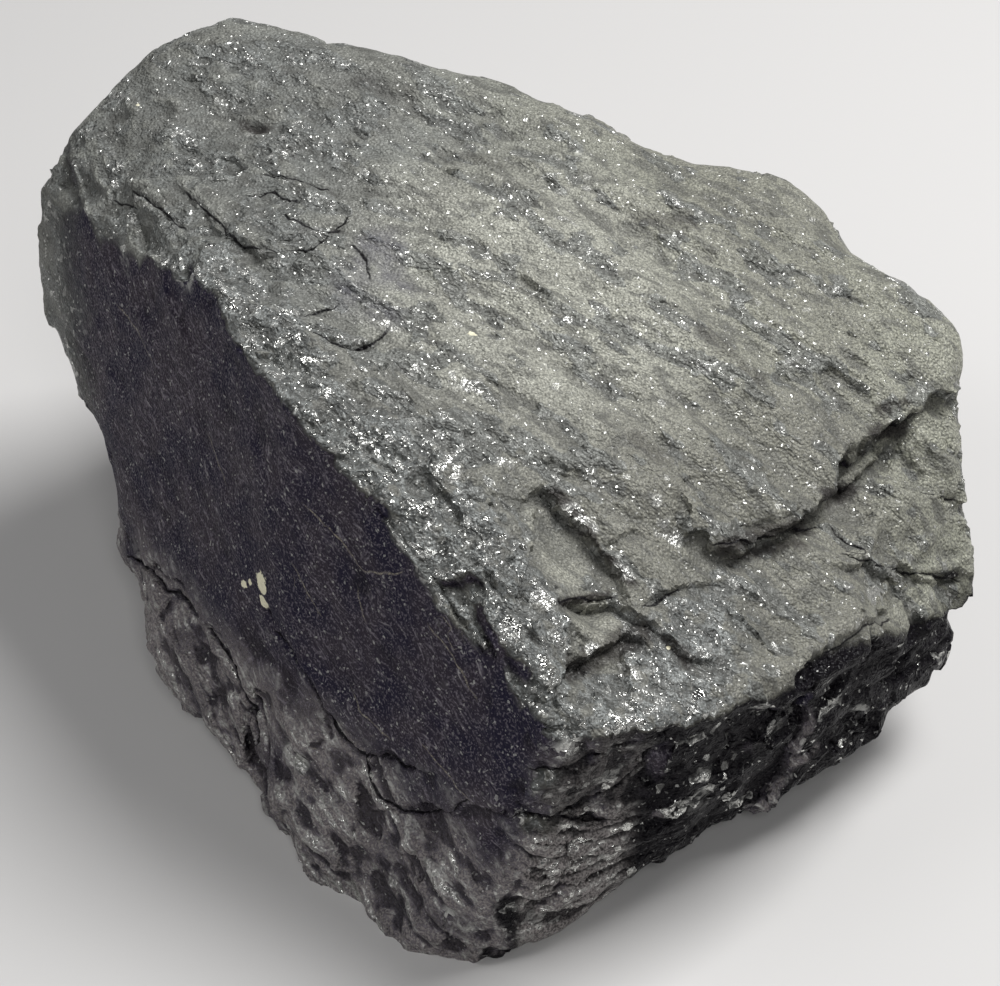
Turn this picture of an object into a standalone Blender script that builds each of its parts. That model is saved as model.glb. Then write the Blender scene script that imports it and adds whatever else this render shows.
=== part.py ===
"""A museum-size lump of hard, bright coal, standing on the flat face that it broke along underneath.

The lump is one piece. It is blocked out as the convex block that its main fracture faces bound, worn a
little at its edges, and then broken further: ledges where a flake has come off, scoops, thin beds that
stand proud or set back along the sides, and the waviness of each face. The finished surface is thinned
to the triangles that its shape needs, and cut off flat where it rests.

Sizes here are millimetres, turned into Blender's metres by MM. X runs to the right, Y to the back and Z
up. The origin is on the resting face, under the middle of the lump's box.
"""

import bpy
import bmesh
from mathutils import Vector, noise
from mathutils.geometry import intersect_point_line

MM = 0.001

# Corners of the block, group by group.
CREST = ((11, -91, 57), (5, -75, 68), (-12, -56, 78), (-36, -39, 88), (-55, -11, 94))
TOP_RIM = (
    (-82, 50, 95), (-70, 59, 101), (-57, 66, 104), (-33, 55, 105), (-3, 51, 101),
    (26, 41, 94), (62, 34, 85), (81, 14, 76), (91, 5, 68),
)
FRONT_RIM = ((67, -54, 50), (52, -70, 48))
LEFT_END = ((-93, 34, 70), (-91, 38, 82), (-91, 27, 58), (-77, 2, 20), (-65, -29, 12), (-84, 50, 40))
RIGHT_END = ((92, -16, 48), (91, -30, 32), (85, -38, 18), (73, -48, 13), (90, 40, 45))
BACK = ((-58, 77, 60), (2, 93, 55), (56, 75, 50))
FOOT = (
    (-4, -93, -3), (-17, -87, -2), (-36, -72, 0), (12, -89, 2), (20, -81, 2), (46, -62, 4),
    (-58, 70, 5), (2, 85, 3), (52, 70, 3), (76, 30, 3),
)
UNDERSIDE = ((-58, 45, -10), (2, 75, -10), (52, 55, -10), (62, -5, -10), (32, -50, -10), (-38, -35, -10))

GRID = 1.7            # spacing of the working surface
EDGE_WEAR = 5         # rounds of smoothing that wear the block's edges
SEED = 11             # fixes where the random relief falls
TRIANGLES = 11400     # what the surface is thinned to, before the underside is cut off

# Relief of the faces.
SWELL = 1.0           # height of the broad swells
SWELL_SPACING = 27
RIPPLE = 0.7          # height of the smaller ones
RIPPLE_SPACING = 12
RIDGE = 0.55          # height of the ridges along the grain of the top face
RIDGE_SPACING = 7
RIDGE_LENGTH = 32
FACETS = ((15, 0.28), (7, 0.15))  # width and slope of the facets on rough breaks
BED_STEP = 2.2        # how far one bed stands proud of the next
BED_RUN = 38          # how far a bed runs before it changes
RAGGED = ((7, 1.6), (3, 0.8))     # length and size of the wobbles in a ledge's line

# Bedding: the thin beds lie across this direction, nearly level with the top face.
BEDDING = Vector((0.38, -0.10, 0.92)).normalized()
BED = 6.5             # thickness of one bed
CLEAT = Vector((-0.75, -0.62, 0.22)).normalized()  # the smooth left face looks this way
GRAIN = Vector((0.80, -0.40, -0.45)).normalized()  # shallow ridges run this way over the top face
WORN_END = Vector((-82, 38, 92))  # the middle of the left end's rounded top, which is rubbed smooth
WORN_REACH = 42

# Ledges: the ground drops on the left of each path as it is followed with the outside of the lump up,
# by the fourth number at each point, and climbs back to the old face over the reach.
LEDGES = {
    "broken_step": (36, (
        (95, -2, 62, 2), (86, -7, 64, 4.5), (79, -12, 65, 6.5), (75, -18, 65, 7), (67, -24, 65, 7),
        (62, -34, 62, 6.5), (54, -43, 62, 5), (41, -51, 64, 4), (35, -49, 67, 3), (35, -42, 69, 0),
    )),
    "step_block": (14, ((80, -14, 64, 2.5), (74, -23, 62, 3.5), (68, -28, 62, 3.5), (62, -36, 61, 0))),
    "wedge_scar": (26, (
        (27, -66, 63, 0), (23, -61, 67, 3.5), (19, -56, 70, 4.5), (14, -51, 73, 4), (9, -47, 75, 2.5), (2, -52, 77, 0),
    )),
    "lower_scar": (20, (
        (42, -68, 52, 0), (35, -70, 56, 1.6), (29, -67, 61, 2.4), (24, -64, 65, 3), (17, -66, 66, 3.2), (10, -69, 68, 0),
    )),
    "corner_scar": (18, ((31, -72, 58, 0), (25, -69, 62, 3), (17, -76, 62, 3), (12, -81, 62, 2), (8, -86, 60, 0))),
    "right_scar": (22, ((95, -33, 42, 2), (86, -37, 46, 2.5), (76, -40, 50, 2.5), (66, -43, 55, 1.5), (60, -44, 57, 0))),
    "crest_chip": (10, ((-4, -61, 74, 0), (-5, -55, 78, 2), (-9, -51, 79, 2), (-14, -48, 80, 0))),
    "crest_chip_low": (9, ((3, -73, 68, 0), (-1, -67, 72, 2), (-5, -63, 75, 0))),
    "middle_plate": (30, (
        (-8, -81, 37, 0), (-12, -79, 36, 2), (-19, -74, 35, 2.5), (-23, -71, 31, 3), (-32, -63, 35, 2.5),
        (-38, -54, 43, 2), (-44, -44, 50, 0),
    )),
    "left_plate": (30, (
        (-40, -62, 12, 2), (-43, -57, 18, 3), (-46, -52, 24, 3.5), (-51, -42, 30, 3), (-60, -28, 33, 3),
        (-73, -11, 29, 3), (-80, 0, 26, 2),
    )),
    "low_bed": (22, (
        (36, -78, 24, 0), (26, -83, 30, 1.5), (14, -89, 33, 2), (4, -91, 36, 2), (-3, -88, 35, 2),
        (-11, -83, 30, 2), (-19, -78, 25, 2.5), (-23, -72, 30, 1), (-25, -70, 32, 0),
    )),
    "lens_plate": (26, ((-31, -1, 95, 0), (-42, -3, 95, 1.2), (-52, 5, 96, 1.2), (-60, 17, 97, 0.8), (-62, 24, 98, 0))),
    "right_bed": (16, ((80, -12, 65, 0), (70, -9, 70, 0.6), (62, -6, 74, 0.6), (52, 0, 79, 0.5), (44, 4, 82, 0))),
}

# Scoops: centre, radius along the face, depth. A negative depth is a boss.
SCOOPS = {
    "notch_left": ((-81, 10, 34), 17, 6.2),
    "boss_under_notch": ((-77, -1, 20), 12, -2.4),
    "boss_low_left": ((-68, -24, 18), 18, -3.4),
    "boss_foot_left": ((-60, -37, 8), 15, -1.8),
    "hollow_foot_far_left": ((-51, -50, 6), 12, 1.4),
    "boss_foot": ((-40, -68, 6), 17, -1.8),
    "hollow_foot_left": ((-27, -80, 3), 14, 1.4),
    "boss_toe": ((-9, -92, 2), 16, -1.8),
    "hollow_toe": ((14, -88, 6), 15, 1.8),
    "hollow_foot": ((24, -79, 6), 17, 2.4),
    "hollow_foot_mid": ((40, -67, 7), 20, 3.0),
    "boss_foot_mid": ((62, -54, 11), 16, -0.8),
    "boss_foot_right": ((90, -28, 30), 22, -2.2),
    "boss_side_right": ((92, -10, 55), 17, -2.6),
    "dent_side_right": ((92, -31, 35), 17, 2.2),
    "boss_corner_right": ((90, 6, 70), 18, -0.8),
    "dent_shoulder_right": ((73, 25, 79), 14, 2.4),
    "boss_top": ((-60, 64, 102), 26, -3.0),
    "boss_rim_mid": ((-22, 53, 102), 17, -1.0),
    "boss_end_left": ((-88, 42, 88), 16, -1.2),
    "dent_rim_mid": ((36, 40, 92), 20, 1.8),
    "scar_face": ((14, -60, 69), 13, 1.2),
    "nose_hollow": ((20, -84, 38), 11, 1.8),
    "shallow_top_left": ((-46, 22, 100), 26, 1.6),
    "shallow_top_front": ((-16, -14, 92), 22, 1.2),
    "back_scoop": ((20, 88, 50), 34, 5.0),
    "back_left_scoop": ((-74, 66, 50), 26, 3.5),
    "right_scoop": ((86, 36, 40), 26, 3.5),
}


def clamp01(value):
    return min(max(value, 0.0), 1.0)


def smooth_step(low, high, value):
    t = clamp01((value - low) / (high - low))
    return t * t * (3 - 2 * t)


def block():
    """The convex block round all the corners."""
    shape = bmesh.new()
    for group in (CREST, TOP_RIM, FRONT_RIM, LEFT_END, RIGHT_END, BACK, FOOT, UNDERSIDE):
        for corner in group:
            shape.verts.new(corner)
    hull = bmesh.ops.convex_hull(shape, input=shape.verts)
    inside = [v for v in hull["geom_interior"] if isinstance(v, bmesh.types.BMVert)]
    bmesh.ops.delete(shape, geom=inside, context="VERTS")
    bmesh.ops.recalc_face_normals(shape, faces=shape.faces)
    return shape


def evaluated(obj):
    """The object's mesh with its modifiers applied, as a bmesh."""
    graph = bpy.context.evaluated_depsgraph_get()
    shape = bmesh.new()
    shape.from_object(obj, graph)
    return shape


def even_surface(shape):
    """The block's surface as an even grid of small faces, its edges worn."""
    mesh = bpy.data.meshes.new("block")
    shape.to_mesh(mesh)
    shape.free()
    work = bpy.data.objects.new("block", mesh)
    bpy.context.scene.collection.objects.link(work)
    remesh = work.modifiers.new("Even grid", "REMESH")
    remesh.mode = "VOXEL"
    remesh.voxel_size = GRID
    even = evaluated(work)
    bpy.data.objects.remove(work)
    for _ in range(EDGE_WEAR):
        bmesh.ops.smooth_vert(
            even, verts=even.verts, factor=0.5, use_axis_x=True, use_axis_y=True, use_axis_z=True
        )
    even.normal_update()
    return even


def heading(path, index):
    """The way a path runs through one of its points."""
    before = path[max(index - 1, 0)]
    after = path[min(index + 1, len(path) - 1)]
    return (Vector(after[:3]) - Vector(before[:3])).normalized()


def nearest_on(path, point):
    """(distance, offset, direction, drop) of the nearest place on a path of points that each hold a drop."""
    found = None
    for index, (start, end) in enumerate(zip(path, path[1:])):
        a, b = Vector(start[:3]), Vector(end[:3])
        _, share = intersect_point_line(point, a, b)
        share = clamp01(share)
        offset = point - a.lerp(b, share)
        if found is None or offset.length < found[0]:
            along = heading(path, index).lerp(heading(path, index + 1), share)
            found = (offset.length, offset, along, start[3] + (end[3] - start[3]) * share)
    return found


def ragged(point):
    """The point shifted a little, so that what is measured from it has a ragged edge."""
    shift = Vector()
    for length, size in RAGGED:
        shift += size * noise.noise_vector(point / length)
    return point + shift


def ledge_drop(point, normal):
    """How far the flakes that broke off along the ledges lower this place."""
    place = ragged(point)
    total = 0.0
    for reach, path in LEDGES.values():
        distance, offset, along, drop = nearest_on(path, place)
        if distance < reach:
            side = normal.cross(along).normalized().dot(offset)
            scar = smooth_step(-0.7, 0.9, side) * (1 - distance / reach) ** 1.4
            total += drop * scar
    return total


def scoop_drop(point):
    """How far the rounded scoops lower this place, or the bosses raise it."""
    total = 0.0
    for centre, radius, depth in SCOOPS.values():
        share = (point - Vector(centre)).length / radius
        if share < 1:
            total += depth * (1 - share * share) ** 2
    return total


def facets(point):
    """Flat facets, each tilted its own way, as on a rough break."""
    height = 0.0
    for width, slope in FACETS:
        _, cells = noise.voronoi(point / width)
        cell = cells[0] * width
        height += slope * (point - cell).dot(noise.noise_vector(cell * 0.731))
    return height


def ridges(point):
    """Long shallow ridges along the grain."""
    along = GRAIN * point.dot(GRAIN)
    return noise.noise(along / RIDGE_LENGTH + (point - along) / RIDGE_SPACING)


def bed_height(bed, point):
    """How proud this bed stands here."""
    return noise.noise(Vector((bed * 5.37, point.x / BED_RUN, point.y / BED_RUN)))


def bed_shift(point, normal):
    """Beds seen edge-on stand proud or set back, each by its own amount."""
    edge_on = smooth_step(0.2, 0.8, 1 - abs(normal.dot(BEDDING)))
    height = point.dot(BEDDING) / BED + 0.9 * noise.noise(point / 30)
    bed = int(height // 1)
    share = smooth_step(0.0, 0.25, height - bed)
    below = bed_height(bed - 1, point)
    return edge_on * (below + (bed_height(bed, point) - below) * share)


def roughness(point, normal, level):
    """1 on a rough break, and less on the smooth left face, the top face and the rubbed end."""
    cleat = smooth_step(0.86, 0.96, normal.dot(CLEAT)) * smooth_step(18, 38, point.z)
    worn = 1 - smooth_step(0.5, 1.0, (point - WORN_END).length / WORN_REACH)
    return 1 - max(0.85 * cleat, 0.80 * level, 0.75 * worn)


def relief(point, normal):
    """How far the finished surface stands off the worn block here, along its normal."""
    level = smooth_step(0.80, 0.95, normal.dot(BEDDING))
    rough = roughness(point, normal, level)
    height = SWELL * noise.noise(point / SWELL_SPACING)
    height += RIPPLE * rough * noise.noise(point / RIPPLE_SPACING)
    height += RIDGE * level * ridges(point)
    height += (1 - level) * rough * facets(point)
    height += BED_STEP * rough * bed_shift(point, normal)
    return height - ledge_drop(point, normal) - scoop_drop(point)


def broken_surface():
    """The worn block with its relief, every point moved along its normal."""
    shape = even_surface(block())
    moves = [(v, v.normal * relief(v.co, v.normal)) for v in shape.verts]
    for vert, move in moves:
        vert.co += move
    return shape


def thinned(shape):
    """The same surface with only the triangles that its shape needs."""
    bmesh.ops.triangulate(shape, faces=shape.faces)
    mesh = bpy.data.meshes.new("dense")
    shape.to_mesh(mesh)
    share = TRIANGLES / len(shape.faces)
    shape.free()
    work = bpy.data.objects.new("dense", mesh)
    bpy.context.scene.collection.objects.link(work)
    thin = work.modifiers.new("Thin", "DECIMATE")
    thin.ratio = share
    result = evaluated(work)
    bpy.data.objects.remove(work)
    return result


def cut_flat(shape):
    """Takes off what lies under the resting plane, and closes the cut with one flat face."""
    everything = list(shape.verts) + list(shape.edges) + list(shape.faces)
    cut = bmesh.ops.bisect_plane(
        shape, geom=everything, dist=0.02, plane_co=(0, 0, 0), plane_no=(0, 0, -1), clear_outer=True
    )
    rim = [e for e in cut["geom_cut"] if isinstance(e, bmesh.types.BMEdge)]
    closed = bmesh.ops.edgeloop_fill(shape, edges=rim)
    bmesh.ops.triangulate(shape, faces=closed["faces"])
    bmesh.ops.recalc_face_normals(shape, faces=shape.faces)


def centre_over_origin(shape):
    """Moves the lump sideways until the middle of its box is over the origin."""
    xs = [v.co.x for v in shape.verts]
    ys = [v.co.y for v in shape.verts]
    middle = Vector(((min(xs) + max(xs)) / 2, (min(ys) + max(ys)) / 2, 0))
    bmesh.ops.translate(shape, vec=-middle, verts=shape.verts)


def coal():
    """Dark grey coal with a dull metallic lustre."""
    material = bpy.data.materials.new("coal")
    material.use_nodes = True
    surface = material.node_tree.nodes["Principled BSDF"]
    surface.inputs["Base Color"].default_value = (0.055, 0.055, 0.053, 1)
    surface.inputs["Metallic"].default_value = 0.0
    surface.inputs["Roughness"].default_value = 0.45
    return material


def coal_lump():
    shape = thinned(broken_surface())
    cut_flat(shape)
    centre_over_origin(shape)
    bmesh.ops.scale(shape, vec=(MM, MM, MM), verts=shape.verts)
    mesh = bpy.data.meshes.new("coal_lump")
    shape.to_mesh(mesh)
    shape.free()
    mesh.materials.append(coal())
    lump = bpy.data.objects.new("coal_lump", mesh)
    bpy.context.scene.collection.objects.link(lump)


def main():
    for obj in list(bpy.data.objects):
        bpy.data.objects.remove(obj)
    noise.seed_set(SEED)
    coal_lump()


main()
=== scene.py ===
"""The finished look of a lump of hard, bright coal, on a pale floor in soft light.

The lump's solid is replaced by one finer piece of the same shape: the same block is broken by the same
ledges, and then carries the small relief that the solid leaves out. Sizes in the tables are millimetres
from the block's own centre; the finished mesh is in metres, over the origin.
"""

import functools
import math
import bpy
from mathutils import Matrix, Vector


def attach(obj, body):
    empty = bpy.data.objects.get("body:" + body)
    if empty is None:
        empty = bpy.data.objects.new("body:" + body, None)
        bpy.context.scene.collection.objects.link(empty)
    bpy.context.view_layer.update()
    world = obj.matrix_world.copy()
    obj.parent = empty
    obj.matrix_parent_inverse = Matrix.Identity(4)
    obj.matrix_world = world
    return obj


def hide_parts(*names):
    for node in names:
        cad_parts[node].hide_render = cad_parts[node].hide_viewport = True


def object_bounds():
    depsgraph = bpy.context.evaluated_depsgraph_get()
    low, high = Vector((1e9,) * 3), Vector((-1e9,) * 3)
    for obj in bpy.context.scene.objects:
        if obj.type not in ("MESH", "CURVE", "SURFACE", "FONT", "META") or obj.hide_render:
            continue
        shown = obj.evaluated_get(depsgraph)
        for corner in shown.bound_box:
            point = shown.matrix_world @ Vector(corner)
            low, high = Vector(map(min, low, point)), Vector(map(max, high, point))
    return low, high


bl_info = {
    "name": "Coal Lump",
    "version": (1, 0, 0),
    "blender": (4, 5, 0),
    "location": "View3D > Sidebar > Coal",
    "description": "Builds a broken lump of hard coal with its floor, light and camera",
    "category": "Object",
}

import bmesh
import bpy
import numpy as np
from bpy.props import FloatProperty, FloatVectorProperty, IntProperty, PointerProperty
from mathutils import Vector, noise

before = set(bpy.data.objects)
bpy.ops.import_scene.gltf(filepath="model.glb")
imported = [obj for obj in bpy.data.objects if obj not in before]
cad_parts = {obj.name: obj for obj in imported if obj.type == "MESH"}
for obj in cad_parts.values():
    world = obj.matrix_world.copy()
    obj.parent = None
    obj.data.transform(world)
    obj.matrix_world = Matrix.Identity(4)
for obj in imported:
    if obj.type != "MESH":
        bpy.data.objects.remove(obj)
CAD_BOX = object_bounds()

MM = 0.001
SEED = 11
BLOCK_CENTRE = Vector((0.46, -0.93, 0))  # the middle of the lump's box in the tables' coordinates


def direction(*way):
    return np.array(way) / np.linalg.norm(way)


# ---------------------------------------------------------------- the block and its main breaks

CREST = ((11, -91, 57), (5, -75, 68), (-12, -56, 78), (-36, -39, 88), (-55, -11, 94))
TOP_RIM = (
    (-82, 50, 95), (-70, 59, 101), (-57, 66, 104), (-33, 55, 105), (-3, 51, 101),
    (26, 41, 94), (62, 34, 85), (81, 14, 76), (91, 5, 68),
)
FRONT_RIM = ((67, -54, 50), (52, -70, 48))
LEFT_END = ((-93, 34, 70), (-91, 38, 82), (-91, 27, 58), (-77, 2, 20), (-65, -29, 12), (-84, 50, 40))
RIGHT_END = ((92, -16, 48), (91, -30, 32), (85, -38, 18), (73, -48, 13), (90, 40, 45))
BACK = ((-58, 77, 60), (2, 93, 55), (56, 75, 50))
FOOT = (
    (-4, -93, -3), (-17, -87, -2), (-36, -72, 0), (12, -89, 2), (20, -81, 2), (46, -62, 4),
    (-58, 70, 5), (2, 85, 3), (52, 70, 3), (76, 30, 3),
)
UNDERSIDE = ((-58, 45, -10), (2, 75, -10), (52, 55, -10), (62, -5, -10), (32, -50, -10), (-38, -35, -10))

BLOCK_GRID = 1.7  # spacing of the block's first mesh
EDGE_WEAR = 5  # rounds of smoothing that wear the block's edges

BEDDING = direction(0.38, -0.10, 0.92)  # across the beds
BED = 6.5  # thickness of a bed
CLEAT = direction(-0.75, -0.62, 0.22)  # where the smooth face on the left faces
GRAIN = direction(0.80, -0.40, -0.45)  # along the top
WORN = (-82, 38, 92), 42  # the worn end of the top: middle and radius

# Relief that the solid also has: height, and spacing or width.
SWELL, SWELL_SPACING = 1.0, 27
RIPPLE, RIPPLE_SPACING = 0.7, 12
RIDGE, RIDGE_SPACING, RIDGE_LENGTH = 0.55, 7, 32
FACETS = ((15, 0.28), (7, 0.15))
BED_STEP, BED_RUN, BED_WAVE = 2.2, 38, 0.9
RAGGED = ((7, 1.6), (3, 0.8))  # how far the ledges' paths wander: spacing and size of each noise
FRAY, FRAY_SPACING = 0.35, 1.3

# Main ledges: reach, and the path with the drop on its left and the drop at each place.
LEDGES = {
    "broken_step": (36, (
        (95, -2, 62, 2), (86, -7, 64, 4.5), (79, -12, 65, 6.5), (75, -18, 65, 7), (67, -24, 65, 7),
        (62, -34, 62, 6.5), (54, -43, 62, 5), (41, -51, 64, 4), (35, -49, 67, 3), (35, -42, 69, 0),
    )),
    "step_block": (14, ((80, -14, 64, 2.5), (74, -23, 62, 3.5), (68, -28, 62, 3.5), (62, -36, 61, 0))),
    "wedge_scar": (26, (
        (27, -66, 63, 0), (23, -61, 67, 2.7), (19, -56, 70, 3.4), (14, -51, 73, 3.2), (9, -47, 75, 2.2),
        (2, -52, 77, 0),
    )),
    "lower_scar": (20, (
        (42, -68, 52, 0), (35, -70, 56, 1.6), (29, -67, 61, 2.4), (24, -64, 65, 3), (17, -66, 66, 3.2),
        (10, -69, 68, 0),
    )),
    "corner_scar": (18, ((31, -72, 58, 0), (25, -69, 62, 3), (17, -76, 62, 3), (12, -81, 62, 2), (8, -86, 60, 0))),
    "right_scar": (22, (
        (95, -33, 42, 2), (86, -37, 46, 2.5), (76, -40, 50, 2.5), (66, -43, 55, 1.5), (60, -44, 57, 0),
    )),
    "crest_chip": (10, ((-4, -61, 74, 0), (-5, -55, 78, 2), (-9, -51, 79, 2), (-14, -48, 80, 0))),
    "crest_chip_low": (9, ((3, -73, 68, 0), (-1, -67, 72, 2), (-5, -63, 75, 0))),
    "middle_plate": (30, (
        (-8, -81, 37, 0), (-12, -79, 36, 2), (-19, -74, 35, 2.5), (-23, -71, 31, 3), (-32, -63, 35, 2.5),
        (-38, -54, 43, 2), (-44, -44, 50, 0),
    )),
    "left_plate": (30, (
        (-40, -62, 12, 2), (-43, -57, 18, 3), (-46, -52, 24, 3.5), (-51, -42, 30, 3), (-60, -28, 33, 3),
        (-73, -11, 29, 3), (-80, 0, 26, 2),
    )),
    "low_bed": (22, (
        (36, -78, 24, 0), (26, -83, 30, 1.5), (14, -89, 33, 2), (4, -91, 36, 2), (-3, -88, 35, 2),
        (-11, -83, 30, 2), (-19, -78, 25, 2.5), (-23, -72, 30, 1), (-25, -70, 32, 0),
    )),
    "lens_plate": (26, ((-31, -1, 95, 0), (-42, -3, 95, 1.2), (-52, 5, 96, 1.2), (-60, 17, 97, 0.8), (-62, 24, 98, 0))),
    "right_bed": (16, ((80, -12, 65, 0), (70, -9, 70, 0.6), (62, -6, 74, 0.6), (52, 0, 79, 0.5), (44, 4, 82, 0))),
}

FINE_LEDGES = (
    "wedge_scar", "lower_scar", "corner_scar", "right_scar", "crest_chip", "crest_chip_low", "lens_plate", "right_bed",
)

# Scoops, and bosses where the depth is below zero: middle, radius and depth.
SCOOPS = {
    "notch_left": ((-81, 10, 34), 17, 6.2),
    "boss_under_notch": ((-77, -1, 20), 12, -2.4),
    "boss_low_left": ((-68, -24, 18), 18, -3.4),
    "boss_foot_left": ((-60, -37, 8), 15, -1.8),
    "hollow_foot_far_left": ((-51, -50, 6), 12, 1.4),
    "boss_foot": ((-40, -68, 6), 17, -1.8),
    "hollow_foot_left": ((-27, -80, 3), 14, 1.4),
    "boss_toe": ((-9, -92, 2), 16, -1.8),
    "hollow_toe": ((14, -88, 6), 15, 1.8),
    "hollow_foot": ((24, -79, 6), 17, 2.4),
    "hollow_foot_mid": ((40, -67, 7), 20, 3.0),
    "boss_foot_mid": ((62, -54, 11), 16, -0.8),
    "boss_foot_right": ((90, -28, 30), 22, -2.2),
    "boss_side_right": ((92, -10, 55), 17, -2.6),
    "dent_side_right": ((92, -31, 35), 17, 2.2),
    "boss_corner_right": ((90, 6, 70), 18, -0.8),
    "dent_shoulder_right": ((73, 25, 79), 14, 2.4),
    "boss_top": ((-60, 64, 102), 26, -3.0),
    "boss_rim_mid": ((-22, 53, 102), 17, -1.0),
    "boss_end_left": ((-88, 42, 88), 16, -1.2),
    "dent_rim_mid": ((36, 40, 92), 20, 1.8),
    "scar_face": ((14, -60, 69), 13, 1.2),
    "nose_hollow": ((20, -84, 38), 11, 1.8),
    "shallow_top_left": ((-46, 22, 100), 26, 1.6),
    "shallow_top_front": ((-16, -14, 92), 22, 1.2),
    "back_scoop": ((20, 88, 50), 34, 5.0),
    "back_left_scoop": ((-74, 66, 50), 26, 3.5),
    "right_scoop": ((86, 36, 40), 26, 3.5),
}

TILT_SCALE = 0.731  # keeps the tilts of neighbouring facets apart

# ---------------------------------------------------------------- the small relief

LEFT_GRAIN = direction(0.50, -0.69, -0.52)
FRONT_GRAIN = direction(0.64, 0.75, -0.15)
LEFTWARD, LEFT_WAY = (-0.80, -0.55, 0), (-0.93, -0.37, 0)  # where the left breaks and the left side face

# Edges that stayed sharp, ribs and a thin vein: height of the ridge, its width and its path.
RIDGES = {
    "front_rim": (2.0, 6, (
        (11, -90, 57), (22, -84.7, 52), (35, -78.5, 50.2), (45, -71.6, 49.2), (52.7, -66.9, 48.6), (62, -57.4, 48.4),
        (70, -50, 45),
    )),
    "crest": (1.2, 4, ((11, -90, 57), (5, -75, 68), (-12, -56, 78), (-36, -39, 88), (-50, -19, 92))),
    "rib_a": (1.6, 3.0, ((-14, -79, 20), (-12.5, -81.7, 18.6), (-9.7, -87.5, 16), (-6.8, -90.8, 14.4))),
    "rib_b": (1.8, 3.4, ((-18, -82, 9), (-16.1, -84.3, 7.9), (-13.3, -89, 6.2), (-10.3, -90.6, 4.7))),
    "rib_c": (1.4, 2.6, ((-6, -90, 14), (-4.8, -92, 10.6), (-2.7, -92, 3.3))),
    "rib_d": (1.0, 1.8, ((-5, -89, 20), (-3.3, -91.1, 16.9), (2.8, -92.2, 10.8))),
    "lobe": (1.6, 6, (
        (-41, -51, 30), (-39.4, -54.5, 26.3), (-36.3, -59.8, 25.6), (-31.9, -63.6, 24.5), (-28, -67, 20),
    )),
    "lobe_low": (1.2, 4, ((-39, -66, 16), (-36.4, -68.9, 12.5), (-32.8, -72.6, 9.5))),
    "vein": (0.5, 0.9, (
        (-31.5, -50.2, 70.4), (-27.6, -53.6, 69.8), (-23.7, -57.8, 66.7), (-21.7, -59.9, 66), (-16.9, -62.8, 68.6),
    )),
    "knob": (2.2, 6, ((61, -59, 44), (67.4, -54.4, 43), (76, -44.6, 37.3))),
}

# Small flakes: reach, and the path with the drop on its left.
FLAKES = {
    "star_left": (9, (
        (22.6, -62.3, 62.7, 0.6), (20.5, -62.4, 62.7, 1.3), (15.5, -64.4, 63.7, 1.3), (11.9, -67.3, 65.9, 0),
    )),
    "star_heart": (5, ((27.5, -65.3, 59.7, 0), (26, -65.1, 60.5, 0.9), (22.9, -63, 61.4, 0.4))),
    "star_right": (10, (
        (44.8, -52, 57.2, 0), (41, -53.7, 58.2, 0.7), (37.2, -55.4, 59.3, 1.1), (33.4, -57.8, 61, 1.2),
        (27.5, -62.2, 62.1, 0.5),
    )),
    "star_up": (6, ((29.3, -50.3, 66.2, 0), (25, -51, 68.3, 1.0), (20.6, -54.2, 68.6, 1.0), (17.8, -53.8, 68.8, 0))),
    "star_rim": (5, ((13.5, -48.3, 73.9, 0), (10.7, -46.4, 75.5, 0.9), (7.2, -49.1, 74.5, 0))),
    "step_upper": (5, ((59.7, -33.4, 60, 0.4), (53.9, -40.8, 63, 0.9), (46.6, -44.3, 65, 0.9), (38.6, -48.6, 66, 0))),
    "slot_a": (7, ((58.3, -15.5, 72.3, 0), (56.1, -13.1, 73.8, 1.1), (54.4, -10.4, 75.1, 0))),
    "slot_b": (8, ((74, -11, 67.5, 0), (71, -10.5, 69.2, 1.1), (66.2, -8.8, 72, 1.1), (60.8, -7.2, 74.3, 0))),
    "slot_c": (6, ((85.3, -17.7, 52.1, 0), (81.4, -15.9, 55.2, 1.0), (77.7, -13.7, 56.3, 0))),
    "slot_d": (7, ((76.2, -6.8, 69.2, 0), (70.3, -5.6, 71.9, 0.9), (65.5, -4.2, 74.4, 0))),
    "thin": (6, ((45.7, 22.1, 85.5, 0), (36.7, 20.6, 87.2, 0.6), (28.7, 17.7, 88, 0))),
    "shoulder_a": (6, ((62, 14, 80, 0), (58, 13, 81, 0.8), (54, 11, 81, 0.8), (50, 15, 83, 0))),
    "shoulder_b": (6, ((73, 12, 77, 0), (67, 9, 78, 0.9), (64, 12, 79, 0))),
    "shoulder_c": (5, ((53.9, 10.9, 81.3, 0), (51, 12.5, 82, 0.7), (49.1, 13.7, 82.9, 0))),
    "middle": (5, ((36.2, 9.8, 84, 0), (34, 11, 85, 0.7), (32.4, 11.8, 85.4, 0))),
    "chevron": (6, (
        (-18.6, -17.1, 88.5, 0), (-22.1, -21.4, 88.3, 1.0), (-26.6, -23.2, 89.1, 1.0), (-31.1, -22.4, 90.1, 0),
    )),
}

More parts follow.
